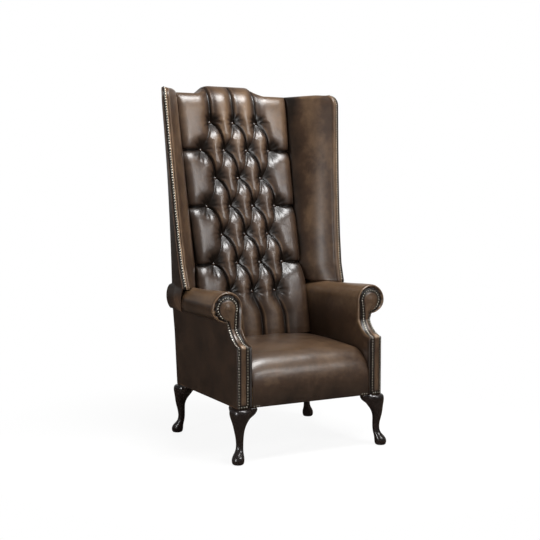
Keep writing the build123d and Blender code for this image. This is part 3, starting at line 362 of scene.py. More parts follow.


# Seat: one fixed seat of foam on springs, covered in antiqued leather that rolls over the front rail.
# The leather is pulled down to the rail's lower edge in front and tucked in along the arms and the back.
# Antiqued hide: aniline leather, hand rubbed so that the crowns are tan and the folds nearly black,
# with a fine pebbled grain and a waxed shine. The grain is 1.5 mm and drawn at 2.4 mm, so that it shows.
# The tan and the black follow each piece's rub-and-light value, which adds painted highlights where the lamps
# catch and painted shade in hollows, tucks and under rolls to the rubbing.
def antiqued_leather(name, deep, ground, tan, bright, rub_and_light_share, smoothest, shine=0.5):
    material = bpy.data.materials.new(name)
    tree, output = clean_tree(material, "ShaderNodeOutputMaterial")
    coords = add_node(tree, "ShaderNodeTexCoord")
    rub_and_light = add_node(tree, "ShaderNodeAttribute", attribute_name="rub_and_light")
    clouds = add_node(tree, "ShaderNodeTexNoise", {"Vector": coords.outputs["Object"], "Scale": 9.0, "Detail": 3.0})
    mottle = add_node(tree, "ShaderNodeTexNoise", {"Vector": coords.outputs["Object"], "Scale": 38.0, "Detail": 5.0,
                                                   "Roughness": 0.65})
    # worn: the rub-and-light value, scaled; it is partly rubbing and partly painted light and shade.
    worn = add_node(tree, "ShaderNodeMath", {0: rub_and_light.outputs["Fac"], 1: rub_and_light_share}, operation="MULTIPLY")
    cloudy = add_node(tree, "ShaderNodeMath", {0: clouds.outputs["Fac"], 1: 0.42, 2: worn.outputs[0]},
                      operation="MULTIPLY_ADD")
    mottled = add_node(tree, "ShaderNodeMath", {0: mottle.outputs["Fac"], 1: 0.42, 2: cloudy.outputs[0]},
                       operation="MULTIPLY_ADD")
    shifted = add_node(tree, "ShaderNodeMath", {0: mottled.outputs[0], 1: 0.42}, operation="SUBTRACT")
    rub_and_light_tone = add_node(tree, "ShaderNodeValToRGB", {0: shifted.outputs[0]})
    stops = rub_and_light_tone.color_ramp.elements
    stops[0].position, stops[0].color = 0.0, linear(deep)
    stops[1].position, stops[1].color = 1.0, linear(bright)
    for position, code in ((0.36, ground), (0.74, tan)):
        stops.new(position).color = linear(code)
    pebbles = add_node(tree, "ShaderNodeTexVoronoi", {"Vector": coords.outputs["Object"], "Scale": 420.0})
    creases = add_node(tree, "ShaderNodeTexNoise", {"Vector": coords.outputs["Object"], "Scale": 120.0,
                                                    "Detail": 3.0, "Distortion": 0.6})
    fine = bump_from(tree, pebbles.outputs["Distance"], 0.16, 0.0006)
    relief = add_node(tree, "ShaderNodeBump", {"Height": creases.outputs["Fac"], "Strength": 0.14,
                                               "Distance": 0.0016, "Normal": fine.outputs[0]})
    gloss = add_node(tree, "ShaderNodeMapRange", {0: mottle.outputs["Fac"], 3: smoothest, 4: smoothest + 0.12})
    skin = add_node(tree, "ShaderNodeBsdfPrincipled", {
        "Base Color": rub_and_light_tone.outputs[0], "Roughness": gloss.outputs[0], "Normal": relief.outputs[0],
        "Specular IOR Level": shine})
    tree.links.new(skin.outputs[0], output.inputs["Surface"])
    return material


antique_leather = antiqued_leather("antique_leather", "#130c07", "#35261b", "#5f4a36", "#a38b72", 0.8, 0.26)

arm_inside = 268.0
seat_front_lip = 290.0
seat_roll_depth = 84.0
seat_front_bow = 9.0
seat_side_height = 392.0
seat_back_height = 405.0
seat_crown = 40.0
seat_rear = 485.0
seat_turn = math.radians(75)
seat_columns = 96
seat_rows = 110
front_share = 0.3
roll_share = 0.6


def between(a, b, share):
    return a + (b - a) * share


def smooth_step(low, high, value):
    share = min(max((value - low) / (high - low), 0.0), 1.0)
    return share * share * (3 - 2 * share)


def arc_point(a, b, rise, share):
    """A point of the shallow arc from a to b that stands out by rise on the left of the way."""
    run = math.hypot(b[0] - a[0], b[1] - a[1])
    out = (-(b[1] - a[1]) / run, (b[0] - a[0]) / run)
    lift = rise * 4 * share * (1 - share)
    return between(a[0], b[0], share) + out[0] * lift, between(a[1], b[1], share) + out[1] * lift


def seat_place(i, j):
    u = math.sin(math.pi / 2 * (2 * i / seat_columns - 1))
    x = u * (arm_inside - 0.5)
    v = j / seat_rows
    bulge = math.sqrt(max(1 - abs(u) ** 6, 0))
    bow = seat_front_bow * (0.2 + 0.8 * bulge)
    lip = seat_front_lip + seat_crown * bulge * 0.1
    crown_front = seat_side_height + seat_crown * bulge * 0.6
    crown_rear = seat_back_height + seat_crown * 0.3 * bulge
    # Rub-and-light value: the front darker towards the bottom, painted shade under the roll; the roll lighter where the
    # lamps' highlights fall, a painted highlight; the top darker towards the back, and all darker towards the arms.
    if v < front_share:
        t = v / front_share
        y, z = -bow * math.sin(math.pi / 2 * t), between(leg_height, lip, t)
        rub_and_light = 0.16 + 0.28 * t
    elif v < roll_share:
        t = (v - front_share) / (roll_share - front_share)
        turn = t * seat_turn
        y = (seat_roll_depth + bow) * (1 - math.cos(turn)) / (1 - math.cos(seat_turn)) - bow
        z = lip + (crown_front - lip) * math.sin(turn) / math.sin(seat_turn)
        rub_and_light = 0.44 + 0.2 * math.sin(math.pi / 2 * t)
    else:
        t = (v - roll_share) / (1 - roll_share)
        y = between(seat_roll_depth, seat_rear, t)
        z = between(crown_front, crown_rear, t) + 18 * (1.2 - u * u) * 4 * t * (1 - t)
        z -= 18 * smooth_step(0.94, 1.0, t)
        rub_and_light = 0.64 - 0.22 * t
    rub_and_light *= 0.6 + 0.4 * bulge
    swell = noise.noise(Vector((x / 95, y / 95, z / 95))) * 2.2 * bulge
    return (x, y - swell * (v < 0.4), z + swell * (v >= 0.4)), rub_and_light


seat = laid_out("sprung_seat", seat_columns, seat_rows, seat_place)
apply_modifier(seat, "SOLIDIFY", thickness=0.003, offset=-1)
finish_piece(seat, antique_leather, "leather", "seat_cover", "seat_foam")


# Back: foam over webbing under one hide, drawn down by three and four buttons in turn.
# A sharp pleat folds down from each button to the lower right, a soft one to the lower left; three run over the crest.
lean_low = math.tan(math.radians(6.2))
lean_angle = math.radians(11.1)
lean_high = math.tan(lean_angle)
kink_height = 447.0
crest_height = 1526.0
shoulder_height = 1485.0
crest_flat = 105.0
crest_ramp = 62.0
low_row = 609.0
row_pitch = 124.5
half_pitch = 56.5
back_step = 2.17
back_foot = 420.0
wing_foot = 651.0
back_waist = 730.0
top_row = 6
column_steps = 130
row_steps = 48
button_depth = 80.0
lumbar = 50.0
crown = 42.0
roll_start = 1400.0
roll_height = crest_height - roll_start
crest_rows = 40
flat_rows = 8
rows_below = round((low_row - back_foot) / (row_pitch / row_steps))
rows_straight = rows_below + round((roll_start - low_row) / (row_pitch / row_steps))


def rear_face(z):
    return base_depth + (min(z, kink_height) - leg_height) * lean_low + max(z - kink_height, 0) * lean_high


def crest_line(x):
    """Height of the top edge: level in the middle, with a hollow ramp down to each shoulder."""
    share = min(max((abs(x) - crest_flat) / crest_ramp, 0), 1)
    corner = 2.5 * math.exp(-((abs(x) - crest_flat) / 9) ** 2)
    return shoulder_height + (crest_height - shoulder_height) * (1 - share) ** 1.5 - corner


def back_half_width(z):
    foot, waist, shoulder = 267.7, 256.0, 276.0
    if z <= wing_foot:
        return foot
    if z <= back_waist:
        return between(foot, waist, (z - wing_foot) / (back_waist - wing_foot))
    return between(waist, shoulder, min((z - back_waist) / (shoulder_height - back_waist), 1))


def settled(share, reach):
    """Quarter wave that has risen to 1 at reach."""
    return math.sin(math.pi / 2 * min(max(share / reach, 0), 1))


def over_pleat(share):
    """Leather that folds over a pleat: a steep lip, then a long slope."""
    return 0.68 * (1 - math.exp(-max(share, 0) / 0.03)) + 0.32 * settled(share, 0.5)


def under_pleat(share):
    """Leather that comes out from under a pleat: a full round shoulder."""
    return 0.5 * (1 - math.exp(-max(share, 0) / 0.05)) + 0.5 * settled(share, 0.4)


def soft_pleat(share):
    """Shallow valley on the lower left of a button."""
    return 0.4 + 0.3 * (1 - math.exp(-max(share, 0) / 0.035)) + 0.3 * settled(share, 0.45)


def nearest_button(x, z):
    """Way to the nearest button, across and up."""
    across, level = x / half_pitch, (z - low_row) / row_pitch
    best = None
    for row in (math.floor(level), math.floor(level) + 1):
        row = min(max(row, 0), top_row)
        parity = row % 2
        column = 2 * round((across - parity) / 2) + parity
        column = min(max(column, -2 - parity), 2 + parity)
        way = ((across - column) * half_pitch, (level - row) * row_pitch)
        if best is None or math.hypot(*way) < math.hypot(*best):
            best = way
    return best


def lip(share):
    """Where the painted highlight lies on the lip beside a sharp pleat."""
    return math.exp(-((share - 0.10) / 0.045) ** 2)


def button_plane(z):
    """How far the buttons' plane stands in front of the rear face: more in the small of the back."""
    share = (z - low_row) / (top_row * row_pitch)
    share = min((share + math.hypot(share, 0.1)) / 2, 1)
    return button_depth + lumbar * (1 - share) ** 1.7


def tufted(x, z):
    """Fullness of the tufting, from 0 in a pleat to 1 on the crown of a diamond, and the share of the painted highlight
    on a sharp pleat's lip.
    """
    across, up = x / half_pitch, (z - low_row) / row_pitch
    across -= 0.5 * smooth_step(0, 0.9, -up)
    blend = 0.3 * smooth_step(2.2, 3.0, abs(across))
    level = min((up + math.hypot(up, blend)) / 2, top_row)
    p, q = (across + level) / 2, (across - level) / 2
    fade = 1 - smooth_step(0, 0.15, max(up - top_row, -up, 0))
    fade *= 1 - smooth_step(2.9, 3.6, abs(across))
    p, q = (p - 0.17 * math.sin(math.pi * (q % 1)) * fade, q - 0.05 * math.sin(math.pi * (p % 1)) * fade)
    centre = math.floor(p) + math.floor(q) + 1
    if abs(centre) <= 2:
        puff = over_pleat(p % 1) * under_pleat(1 - p % 1) * soft_pleat(q % 1) * soft_pleat(1 - q % 1)
        return puff, lip(p % 1)
    even = 2 * round(level / 2)
    if across > 0:
        a, b = p - (2 + even) / 2, q - (2 - even) / 2
        puff, shine = over_pleat(a) * soft_pleat(b), lip(a)
    else:
        a, b = (even - 2) / 2 - p, (-2 - even) / 2 - q
        puff, shine = under_pleat(a) * soft_pleat(b), 0.0
    puff *= 0.78 + 0.22 * settled(min(a, b), 0.9)
    above = level - min(max(2 * round((level - 1) / 2) + 1, 1), 5)
    fold = over_pleat(above * 0.9) if above > 0 else under_pleat(-above * 0.9)
    return puff * between(1, fold, smooth_step(2.6, 3.0, abs(across))), shine


def back_place(i, j):
    x = (i - column_steps) * back_step
    z = low_row + (min(j, rows_straight) - rows_below) * row_pitch / row_steps
    limit = back_half_width(z)
    inner = 3.6 * half_pitch
    if abs(x) > inner:
        widest = column_steps * back_step
        x = math.copysign(inner + (abs(x) - inner) * (limit - inner) / (widest - inner), x)
    depth = button_plane(z)
    puff, shine = tufted(x, z)
    aside, above = nearest_button(x, z)
    run = math.hypot(aside, above * 0.8)
    bridge = 1 - math.exp(-(run / 30) ** 1.6)
    height = crown * (0.36 * bridge + 0.64 * puff * bridge ** 0.3)
    pucker = math.sin(11 * math.atan2(above, aside) + round(x / 50)) * math.exp(-((run - 30) / 14) ** 2)
    height += 1.2 * pucker * puff ** 0.5
    edge = (limit - abs(x)) / 44
    tuck = 1 - math.sqrt(max(1 - (1 - min(edge, 1)) ** 2, 0))
    height -= tuck * 26
    # Rub-and-light value: crowns lighter and pleats darker, the hide's rubbing with painted shade; lighter higher up,
    # painted light from above; darker round each button and in a patch above it, painted shade in the hollows; darker
    # towards the outer flanks; lighter on wrinkle crests; a painted highlight along each sharp pleat's lip; darker in
    # the tuck by the wings, painted shade.
    rub_and_light = between(0.6, 0.92, smooth_step(1050, 1450, z)) * max(puff * bridge, 0) ** 1.6
    rub_and_light += 0.02 - 0.3 * math.exp(-(run / 22) ** 2)
    rub_and_light -= 0.35 * math.exp(-(math.hypot(aside - 9, above - 17) / 22) ** 2)
    rub_and_light -= 0.16 * smooth_step(2.2, 3.4, abs(x) / half_pitch)
    rub_and_light += 0.10 * pucker * puff + 0.45 * shine * bridge
    rub_and_light *= 1 - 0.8 * tuck
    if j <= rows_straight:
        return (x, rear_face(z) - depth - height, z), rub_and_light
    rolled = min((j - rows_straight) / crest_rows, 1.0)
    turn = rolled * math.pi / 2
    line = min(abs(abs(x) - 2 * half_pitch), abs(x))
    crease = 3.5 * math.exp(-(line / 5) ** 2)
    flat_share = max(j - rows_straight - crest_rows, 0) / flat_rows
    shoulder = smooth_step(0, 1, (abs(x) - crest_flat) / crest_ramp)
    ridge = between(36, 92, shoulder)
    z = roll_start + (crest_line(x) - roll_start) * math.sin(turn) - crease * rolled * (1 - flat_share)
    z -= 1.2 * smooth_step(0.0, 1.0, flat_share)
    if flat_share > 0:
        y = rear_face(z) - between(ridge, 3, flat_share)
    else:
        y = rear_face(z) - ridge - (depth + height - ridge) * math.sqrt(1 - math.sin(turn) ** 3)
    # On the crest the value goes to an even level, darker along the pleats' creases: the hide's rubbing with painted
    # shade.
    return (x, y, z), between(rub_and_light, 0.66 - 0.15 * crease, rolled)


buttoned_back = laid_out("buttoned_back", 2 * column_steps, rows_straight + crest_rows + flat_rows, back_place)
bpy.ops.object.mode_set(mode="EDIT")
bpy.ops.mesh.select_all(action="DESELECT")
bpy.ops.mesh.select_non_manifold(extend=False)
bpy.ops.mesh.extrude_region()
bpy.ops.object.mode_set(mode="OBJECT")
for vertex in buttoned_back.data.vertices:
    if vertex.select:
        z = vertex.co.z / MM
        vertex.co.y = spot(0, rear_face(kink_height) + (z - kink_height) * lean_high - 52, 0).y
bpy.ops.object.mode_set(mode="EDIT")
bpy.ops.mesh.edge_face_add()
bpy.ops.object.mode_set(mode="OBJECT")
finish_piece(buttoned_back, antique_leather, "leather", "inside_back_cover", "back_foam", "crest_roll")

# Buttons: domed shells covered in the same hide and pulled in by cords, one at each crossing of the pleats.
button_leather = antiqued_leather("button_leather", "#120b07", "#2a1d14", "#4c3828", "#6b523d", 0.7, 0.16)
button_rings = ((7.6, -3.0), (7.9, 0.0), (7.3, 2.4), (5.8, 4.2), (3.3, 5.4), (1.1, 5.8))


def button_point(x, y, z, lean):
    def around(i, j):
        radius, rise = button_rings[j]
        angle = 2 * math.pi * i / 16
        a, b = radius * math.cos(angle), radius * math.sin(angle)
        return (x + a, y - rise * math.cos(lean) + b * math.sin(lean), z + b * math.cos(lean)), 0.2 + 0.08 * j
    return around


buttons = []
for row in range(top_row + 1):
    z = low_row + row * row_pitch
    for x in ((-113, 0, 113) if row % 2 == 0 else (-169.5, -56.5, 56.5, 169.5)):
        y = rear_face(z) - button_plane(z)
        piece = laid_out(f"button_{row}_{x}", 16, 5, button_point(x, y, z, lean_angle), ring=True, ends=True)
        apply_modifier(piece, "SUBSURF", levels=1, render_levels=1)
        buttons.append(piece)
bpy.ops.object.select_all(action="DESELECT")
for piece in buttons:
    piece.select_set(True)
bpy.context.view_layer.objects.active = buttons[0]
bpy.ops.object.join()
button_set = own_mesh("back_button_set")
finish_piece(button_set, button_leather, "button_leather", "back_buttons")


# Arms: a flat padded slab with a roll on top, under one hide that is gathered round the scroll's face.
# The gathers end under a studded facing; a piped edge follows the scroll and the sweep down to a small ledge.
arm_kink = 453.0
neck_height = 515.0
setback = 84.0
face_depth = 7.0
face_rear = setback + face_depth
under_wing = 383.0
roll_fade = 232.0
roll_end = 612.0
roll_x = 332.0
roll_z = 595.0
roll_radius = 67.0
roll_turn = (180, -78)
roll_drop = 54.0
panel_top = 546.0
facing_radius = 47.0
neck_top = 548.5
bulb_foot = 577.4
sweep_bow = 12.0
front_line_steps = (22, 14, 12)
turn_steps = 44
arm_columns = sum(front_line_steps) + turn_steps
face_rows = 26
arm_rows = 74


def front_line(z):
    """Y of the arm's front at a height: upright, then a hollow sweep back to the scroll."""
    if z <= arm_kink:
        return 0.0
    if z >= neck_height:
        return setback
    low, high = 0.0, 1.0
    for _ in range(30):
        share = (low + high) / 2
        y, height = sweep_point(share)
        low, high = (share, high) if height < z else (low, share)
    return y


def sweep_point(share):
    return arc_point((0, arm_kink), (setback, neck_height), -sweep_bow, share)


def column_height(i):
    """Height on the arm's inner side of a column that belongs to the front line."""
    low, sweep, neck = front_line_steps
    if i <= low:
        return between(leg_height, arm_kink, i / low)
    if i <= low + sweep:
        return sweep_point((i - low) / sweep)[1]
    return between(neck_height, roll_z, (i - low - sweep) / neck)


def facing_edge(z):
    """Inner edge of the facing at a height."""
    if z <= arm_kink:
        return 283.0
    if z <= neck_height:
        return between(283.0, 293.0, (z - arm_kink) / (neck_height - arm_kink))
    if z <= bulb_foot:
        return between(293.0, 288.4, (z - neck_height) / (bulb_foot - neck_height))
    return between(288.4, 285.0, (z - bulb_foot) / (roll_z - bulb_foot))


def rear_reach(y):
    """How far the roll stands out from its middle line, behind the front of the wing."""
    return between(52.0, 33.0, min(max((y - under_wing) / roll_fade, 0), 1))


def arm_section_point(i, y):
    """Point of the arm's section at depth y: up the inside, over the roll and under it."""
    straight = sum(front_line_steps)
    even = max(min((y - face_rear) / (under_wing - face_rear), 1), 0)
    back = smooth_step(face_rear, under_wing, y) * 0.5 + even * 0.5
    top = between(662.0, 650.0, back)
    reach = between(roll_radius, rear_reach(y), back) if y <= under_wing else rear_reach(y)
    if i <= straight:
        return arm_inside, column_height(i)
    turn = math.radians(between(*roll_turn, (i - straight) / (turn_steps - 1)))
    if i == arm_columns:
        return half_width, roll_z - roll_drop
    wide = (roll_x - arm_inside) if math.cos(turn) < 0 else reach - 5 * smooth_step(440, 490, y)
    tall = (top - roll_z) if math.sin(turn) > 0 else roll_drop
    return roll_x + wide * math.cos(turn), roll_z + tall * math.sin(turn)


def facing_point(i):
    """Point of the facing's edge that belongs to a column."""
    straight = sum(front_line_steps)
    if i <= straight:
        z = column_height(i)
        return facing_edge(z), z
    turn = math.radians(between(*roll_turn, min((i - straight) / (turn_steps - 1), 1)))
    return roll_x + facing_radius * math.cos(turn), roll_z + facing_radius * math.sin(turn)


def front_normal(z):
    """Direction square to the arm's front at a height, as Y and Z."""
    if z <= arm_kink or z >= neck_height:
        return -1.0, 0.0
    a, b = front_line(z - 0.5), front_line(z + 0.5)
    run = math.hypot(b - a, 1.0)
    return -1.0 / run, (b - a) / run


random.seed(7)
gather_shift = [random.uniform(-0.5, 0.5) for _ in range(40)]


def arm_place(i, j):
    straight = sum(front_line_steps)
    if j <= face_rows:
        w = j / face_rows
        (xa, za), (xb, zb) = facing_point(i), arm_section_point(i, face_rear)
        x, z = between(xa, xb, w), between(za, zb, w)
        angle = (i - straight) / turn_steps
        bead = 5.5 * math.exp(-((w - 0.74) / 0.2) ** 2)
        groove = -2.0 * math.exp(-((w - 0.3) / 0.12) ** 2)
        relief = bead + groove
        # Rub-and-light value of the facing edge: lighter on the piped bead and its roll, rubbing with a painted
        # highlight; darker below the arm's kink by the seat, painted shade.
        piped = 0.45 * math.exp(-((w - 0.84) / 0.13) ** 2) + 0.62 * smooth_step(0.25, 0.55, w)
        rub_and_light = -0.15 + piped * between(0.3, 1.0, smooth_step(425, 465, z))
        if 0 < angle <= 1:
            pleat = math.sin(angle * 2 * math.pi * 10 + gather_shift[int(angle * 39)])
            depth = math.sin(math.pi * min(w / 0.82, 1)) * smooth_step(0, 0.15, angle)
            relief += 2.2 * pleat * depth
            # The gathers' crests lighter and their folds darker: painted light and shade.
            rub_and_light += (0.3 * pleat + 0.25) * depth * smooth_step(0.45, 0.6, angle)
        rounding = smooth_step(0.90, 1.0, w) * 5
        ny, nz = front_normal(z)
        y = front_line(z)
        lift = relief - rounding - 1.0
        return (x, y + ny * lift, z + nz * lift), rub_and_light
    t = (j - face_rows) / (arm_rows - face_rows)
    edge = front_line(column_height(i)) if i <= straight else setback
    y = between(edge + face_depth, roll_end, t ** 1.25)
    x, z = arm_section_point(i, max(y, face_rear))
    crown_in = 0.0
    if i <= straight:
        crown_in = 5 * math.sin(math.pi * min(max((z - 380) / 215, 0), 1)) * math.sin(math.pi * min(t * 1.1, 1))
    # The arm lighter towards its top and much darker under the roll: painted light from above and painted shade
    # beneath.
    rub_and_light = 0.42 + 0.4 * smooth_step(500, 640, z) - 0.1 * t
    if i > straight + turn_steps * 0.62:
        rub_and_light *= 0.55
    ripple = noise.noise(Vector((x / 60, y / 90, z / 60))) * 1.6 * smooth_step(0, 0.08, t)
    return (x - crown_in + ripple * 0.5, y, z + ripple * 0.5), rub_and_light


def facing_span(z):
    """The facing's two edges at a height."""
    if z <= neck_height:
        return facing_edge(z), half_width
    if z <= neck_top:
        return facing_edge(z), between(half_width, 338.5, (z - neck_height) / (neck_top - neck_height))
    half = math.sqrt(max(facing_radius ** 2 - (z - roll_z) ** 2, 0))
    left = facing_edge(z) if z < bulb_foot else roll_x - half
    return left, roll_x + half


def facing_height(j):
    low, sweep, neck, bulb = 30, 18, 10, 26
    if j <= low:
        return between(217, arm_kink, j / low)
    if j <= low + sweep:
        return sweep_point((j - low) / sweep)[1]
    if j <= low + sweep + neck:
        return between(neck_height, neck_top, (j - low - sweep) / neck)
    turn = between(-math.asin((roll_z - neck_top) / facing_radius), math.pi / 2, (j - low - sweep - neck) / bulb)
    return roll_z + facing_radius * math.sin(turn)


facing_columns = 26
facing_rows = 84
panel_columns = 50
panel_rows = 44


def facing_place(i, j):
    z = facing_height(j)
    left, right = facing_span(z)
    share = i / facing_columns
    x = between(left, right, share)
    gap = min(x - left, right - x)
    if z > bulb_foot:
        gap = max(facing_radius - math.hypot(x - roll_x, z - roll_z), 0)
    gap = min(gap, z - leg_height)
    dome = 4.5 * smooth_step(9.5, 17.0, gap) - 1.2 * smooth_step(4.5, 0, gap) + 6 * smooth_step(16, 47, gap)
    ledge = math.exp(-((z - arm_kink) / 6) ** 2) * smooth_step(6.0, 12.0, gap)
    rub_and_light = -0.25 + 0.85 * smooth_step(9.0, 16.0, gap) + 0.5 * ledge
    dome += 2.0 * ledge
    ny, nz = front_normal(z)
    y = front_line(z)
    return (x, y + ny * dome, z + nz * dome), rub_and_light


def outside_arm_place(i, j):
    share = i / panel_columns
    z = between(leg_height, panel_top, (j / panel_rows) ** 1.4)
    y = between(front_line(z) + 2.5, rear_face(z) - 1, share)
    belly = 3 * math.sin(math.pi * i / panel_columns) * math.sin(math.pi * j / panel_rows)
    edge = smooth_step(6, 1, z - leg_height) * (smooth_step(0.8, 0.9, share) + smooth_step(0.2, 0.1, share))
    return (half_width + belly, y, z), 0.3 + 0.7 * edge


# The outside hide is rubbed and waxed less, and looks darker and flatter.
dark_leather = antiqued_leather("dark_leather", "#140d09", "#35261b", "#523c2b", "#8a705a", 0.7, 0.42, 0.3)
for side, hand in ((-1, "left"), (1, "right")):
    arm = laid_out(f"scroll_arm_{hand}", arm_columns, arm_rows, arm_place, side)
    apply_modifier(arm, "SOLIDIFY", thickness=0.0025, offset=-1)
    finish_piece(arm, antique_leather, "leather", f"inside_arm_cover_{hand}", f"arm_pad_{hand}")
    facing = laid_out(f"scroll_facing_{hand}", facing_columns, facing_rows, facing_place, side)
    apply_modifier(facing, "SOLIDIFY", thickness=0.0025, offset=-1)
    finish_piece(facing, antique_leather, "leather", f"arm_facing_{hand}")
    panel = laid_out(f"outside_arm_{hand}", panel_columns, panel_rows, outside_arm_place, side)
    apply_modifier(panel, "SOLIDIFY", thickness=0.0028, offset=-1)
    finish_piece(panel, dark_leather, "dark_leather", f"outside_arm_cover_{hand}")


# Wings: plywood boards padded on the inside, whose leather rolls over the front edge and the top.
# A piped edge and a strip of studs close the front; the outside leather drapes over the rear of the arm's roll.
wing_top = 1485.0
wing_edge = 26.0
corner_radius = 50.0
wing_cap = 20.0
wing_ridge = 9.0
wing_crown = 3.5
back_top_half = 270.0


def rear_half_width(z):
    if z <= panel_top:
        return half_width
    if z <= wing_foot:
        return between(half_width, 324.0, (z - panel_top) / (wing_foot - panel_top))
    share = (z - wing_foot) / (wing_top - wing_foot)
    return between(324.0, 299.0, min(share * (2 - share), 1))


# Heights at which the plywood's front edge changes its direction.
wing_levels = (651, 730, 856.9, 983.8, 1110.7, 1223.5, 1336.3, 1435)


def wing_front(z):
    """Front edge of the board at a cut; between two cuts the board is straight."""
    share = (z - wing_foot) / (wing_top - wing_foot)
    return 379 + 39 * share, under_wing + 117 * share ** 0.62


class WingPlan:
    """Plan of the wing at a height: s runs forward from the rear corner, o inwards from the outside face."""

    def __init__(self, z):
        z = max(z, wing_foot)
        low = max(level for level in wing_levels if level <= z)
        high = min([level for level in wing_levels if level > z], default=wing_top)
        (fx, fy), (hx, hy) = wing_front(low), wing_front(high)
        part = (z - low) / (high - low)
        fx, fy = between(fx, hx, part), between(fy, hy, part)
        self.rear = (rear_half_width(z), rear_face(z))
        rise = z - (wing_top - corner_radius)
        if rise > 0:
            cut = corner_radius - math.sqrt(max(corner_radius ** 2 - rise ** 2, 0))
            fx -= cut * (fx - self.rear[0]) / (self.rear[1] - fy)
            fy += cut
        run = math.hypot(fx - self.rear[0], fy - self.rear[1])
        ux, uy = (fx - self.rear[0]) / run, (fy - self.rear[1]) / run
        ax, ay = fx - uy * wing_edge / 2, fy + ux * wing_edge / 2
        self.length = math.hypot(ax - self.rear[0], ay - self.rear[1])
        self.along = ((ax - self.rear[0]) / self.length, (ay - self.rear[1]) / self.length)

    def at(self, s, o):
        u, v = self.along
        return self.rear[0] + u * s + v * o, self.rear[1] + v * s - u * o

    def back(self, x, y):
        """The s and o of a point."""
        u, v = self.along
        dx, dy = x - self.rear[0], y - self.rear[1]
        return dx * u + dy * v, dx * v - dy * u


wing_rows = 84
corner_rows = 26


def wing_height(j):
    """Height of a row: even up to the corner, then by equal turns round it."""
    if j <= wing_rows:
        return between(wing_foot - 5, wing_top - corner_radius, j / wing_rows)
    return wing_top - corner_radius + corner_radius * math.sin((j - wing_rows) / corner_rows * math.pi / 2)


# Columns of the inside leather: tuck beside the back, padded face, front roll, piping, stud strip.
wing_spans = (6, 34, 14, 8, 8)


def wing_section(i, p, z):
    """Place and rub-and-light value of a column: s forward, o inwards. Darkest in the tuck beside the back, painted
    shade; lightest on the front roll and the piping's crown, rubbing with a painted highlight.
    """
    tuck, face, roll, pipe, strip = wing_spans
    crease_x = back_half_width(min(z, wing_top)) + 0.5
    fullness = math.sqrt(1 - (max(z - roll_start, 0) / roll_height) ** 3)
    crease_y = rear_face(z) - 90 - 36 * fullness
    front = p.length
    s1, o1 = p.back(crease_x + 1, crease_y + 8)
    s2, o2 = front - 12, wing_edge + 7
    if i <= tuck:
        s0, o0 = p.back(crease_x - 1, rear_face(z) - 52)
        return between(s0, s1, i / tuck), between(o0, o1, i / tuck), 0.0
    i -= tuck
    if i <= face:
        t = i / face
        bow = 14 * math.sin(math.pi * t ** 1.35)
        rub_and_light = 0.1 + 0.5 * smooth_step(0.0, 0.45, t) - 0.1 * smooth_step(0.6, 1.0, t)
        return between(s1, s2, t), between(o1, o2, t) + bow, rub_and_light
    i -= face
    end = math.radians(112)
    if i <= roll:
        turn = i / roll * end
        rub_and_light = 0.5 + 0.25 * math.sin(math.pi * i / roll) - 0.4 * smooth_step(0.8, 1.0, i / roll)
        return s2 + 15 * math.sin(turn), o2 - 9 * (1 - math.cos(turn)), rub_and_light
    i -= roll
    s3, o3 = s2 + 15 * math.sin(end) - 1.5, o2 - 9 * (1 - math.cos(end))
    if i <= pipe:
        turn = i / pipe * math.pi
        return s3 + 3.2 * math.sin(turn) ** 0.8, o3 - 2.2 * (1 - math.cos(turn)), 0.1 + 1.1 * math.sin(turn)
    t = (i - pipe) / strip
    return between(s3 - 1.0, front - 0.6, min(t * 2, 1)), between(o3 - 4.4, 0.5, t), -0.25


def inside_wing_place(i, j):
    z = wing_height(j)
    p = WingPlan(min(z, wing_top - 0.6))
    s, o, rub_and_light = wing_section(i, p, z)
    rise = max(z - (wing_top - wing_cap), 0) / wing_cap
    kept = max(1 - rise ** 3, 0) ** (1 / 3)
    if i <= wing_spans[0]:
        # The tuck beside the back runs up and over to the rear corner, and closes the top there.
        share, (x, y), corner = i / wing_spans[0], p.at(s, o), p.at(0.5, wing_ridge)
        x = between(between(back_top_half, corner[0], share), x, kept)
        y = between(between(rear_face(z) - 0.5, corner[1], share), y, kept)
    else:
        x, y = p.at(min(s, p.length + 1), between(wing_ridge, o, kept))
    z += wing_crown * smooth_step(0, 1, rise) * smooth_step(p.length - 15, p.length - 70, s)
    mottle = noise.noise(Vector((x / 70, y / 70, z / 110))) * 0.16
    # Lighter on the rounded top: painted light from above.
    return (x, y, z), rub_and_light + mottle * (rub_and_light > 0.1) + 0.12 * smooth_step(0.2, 0.9, rise) * (rub_and_light > 0)


outside_columns = 40
drape_rows = 20


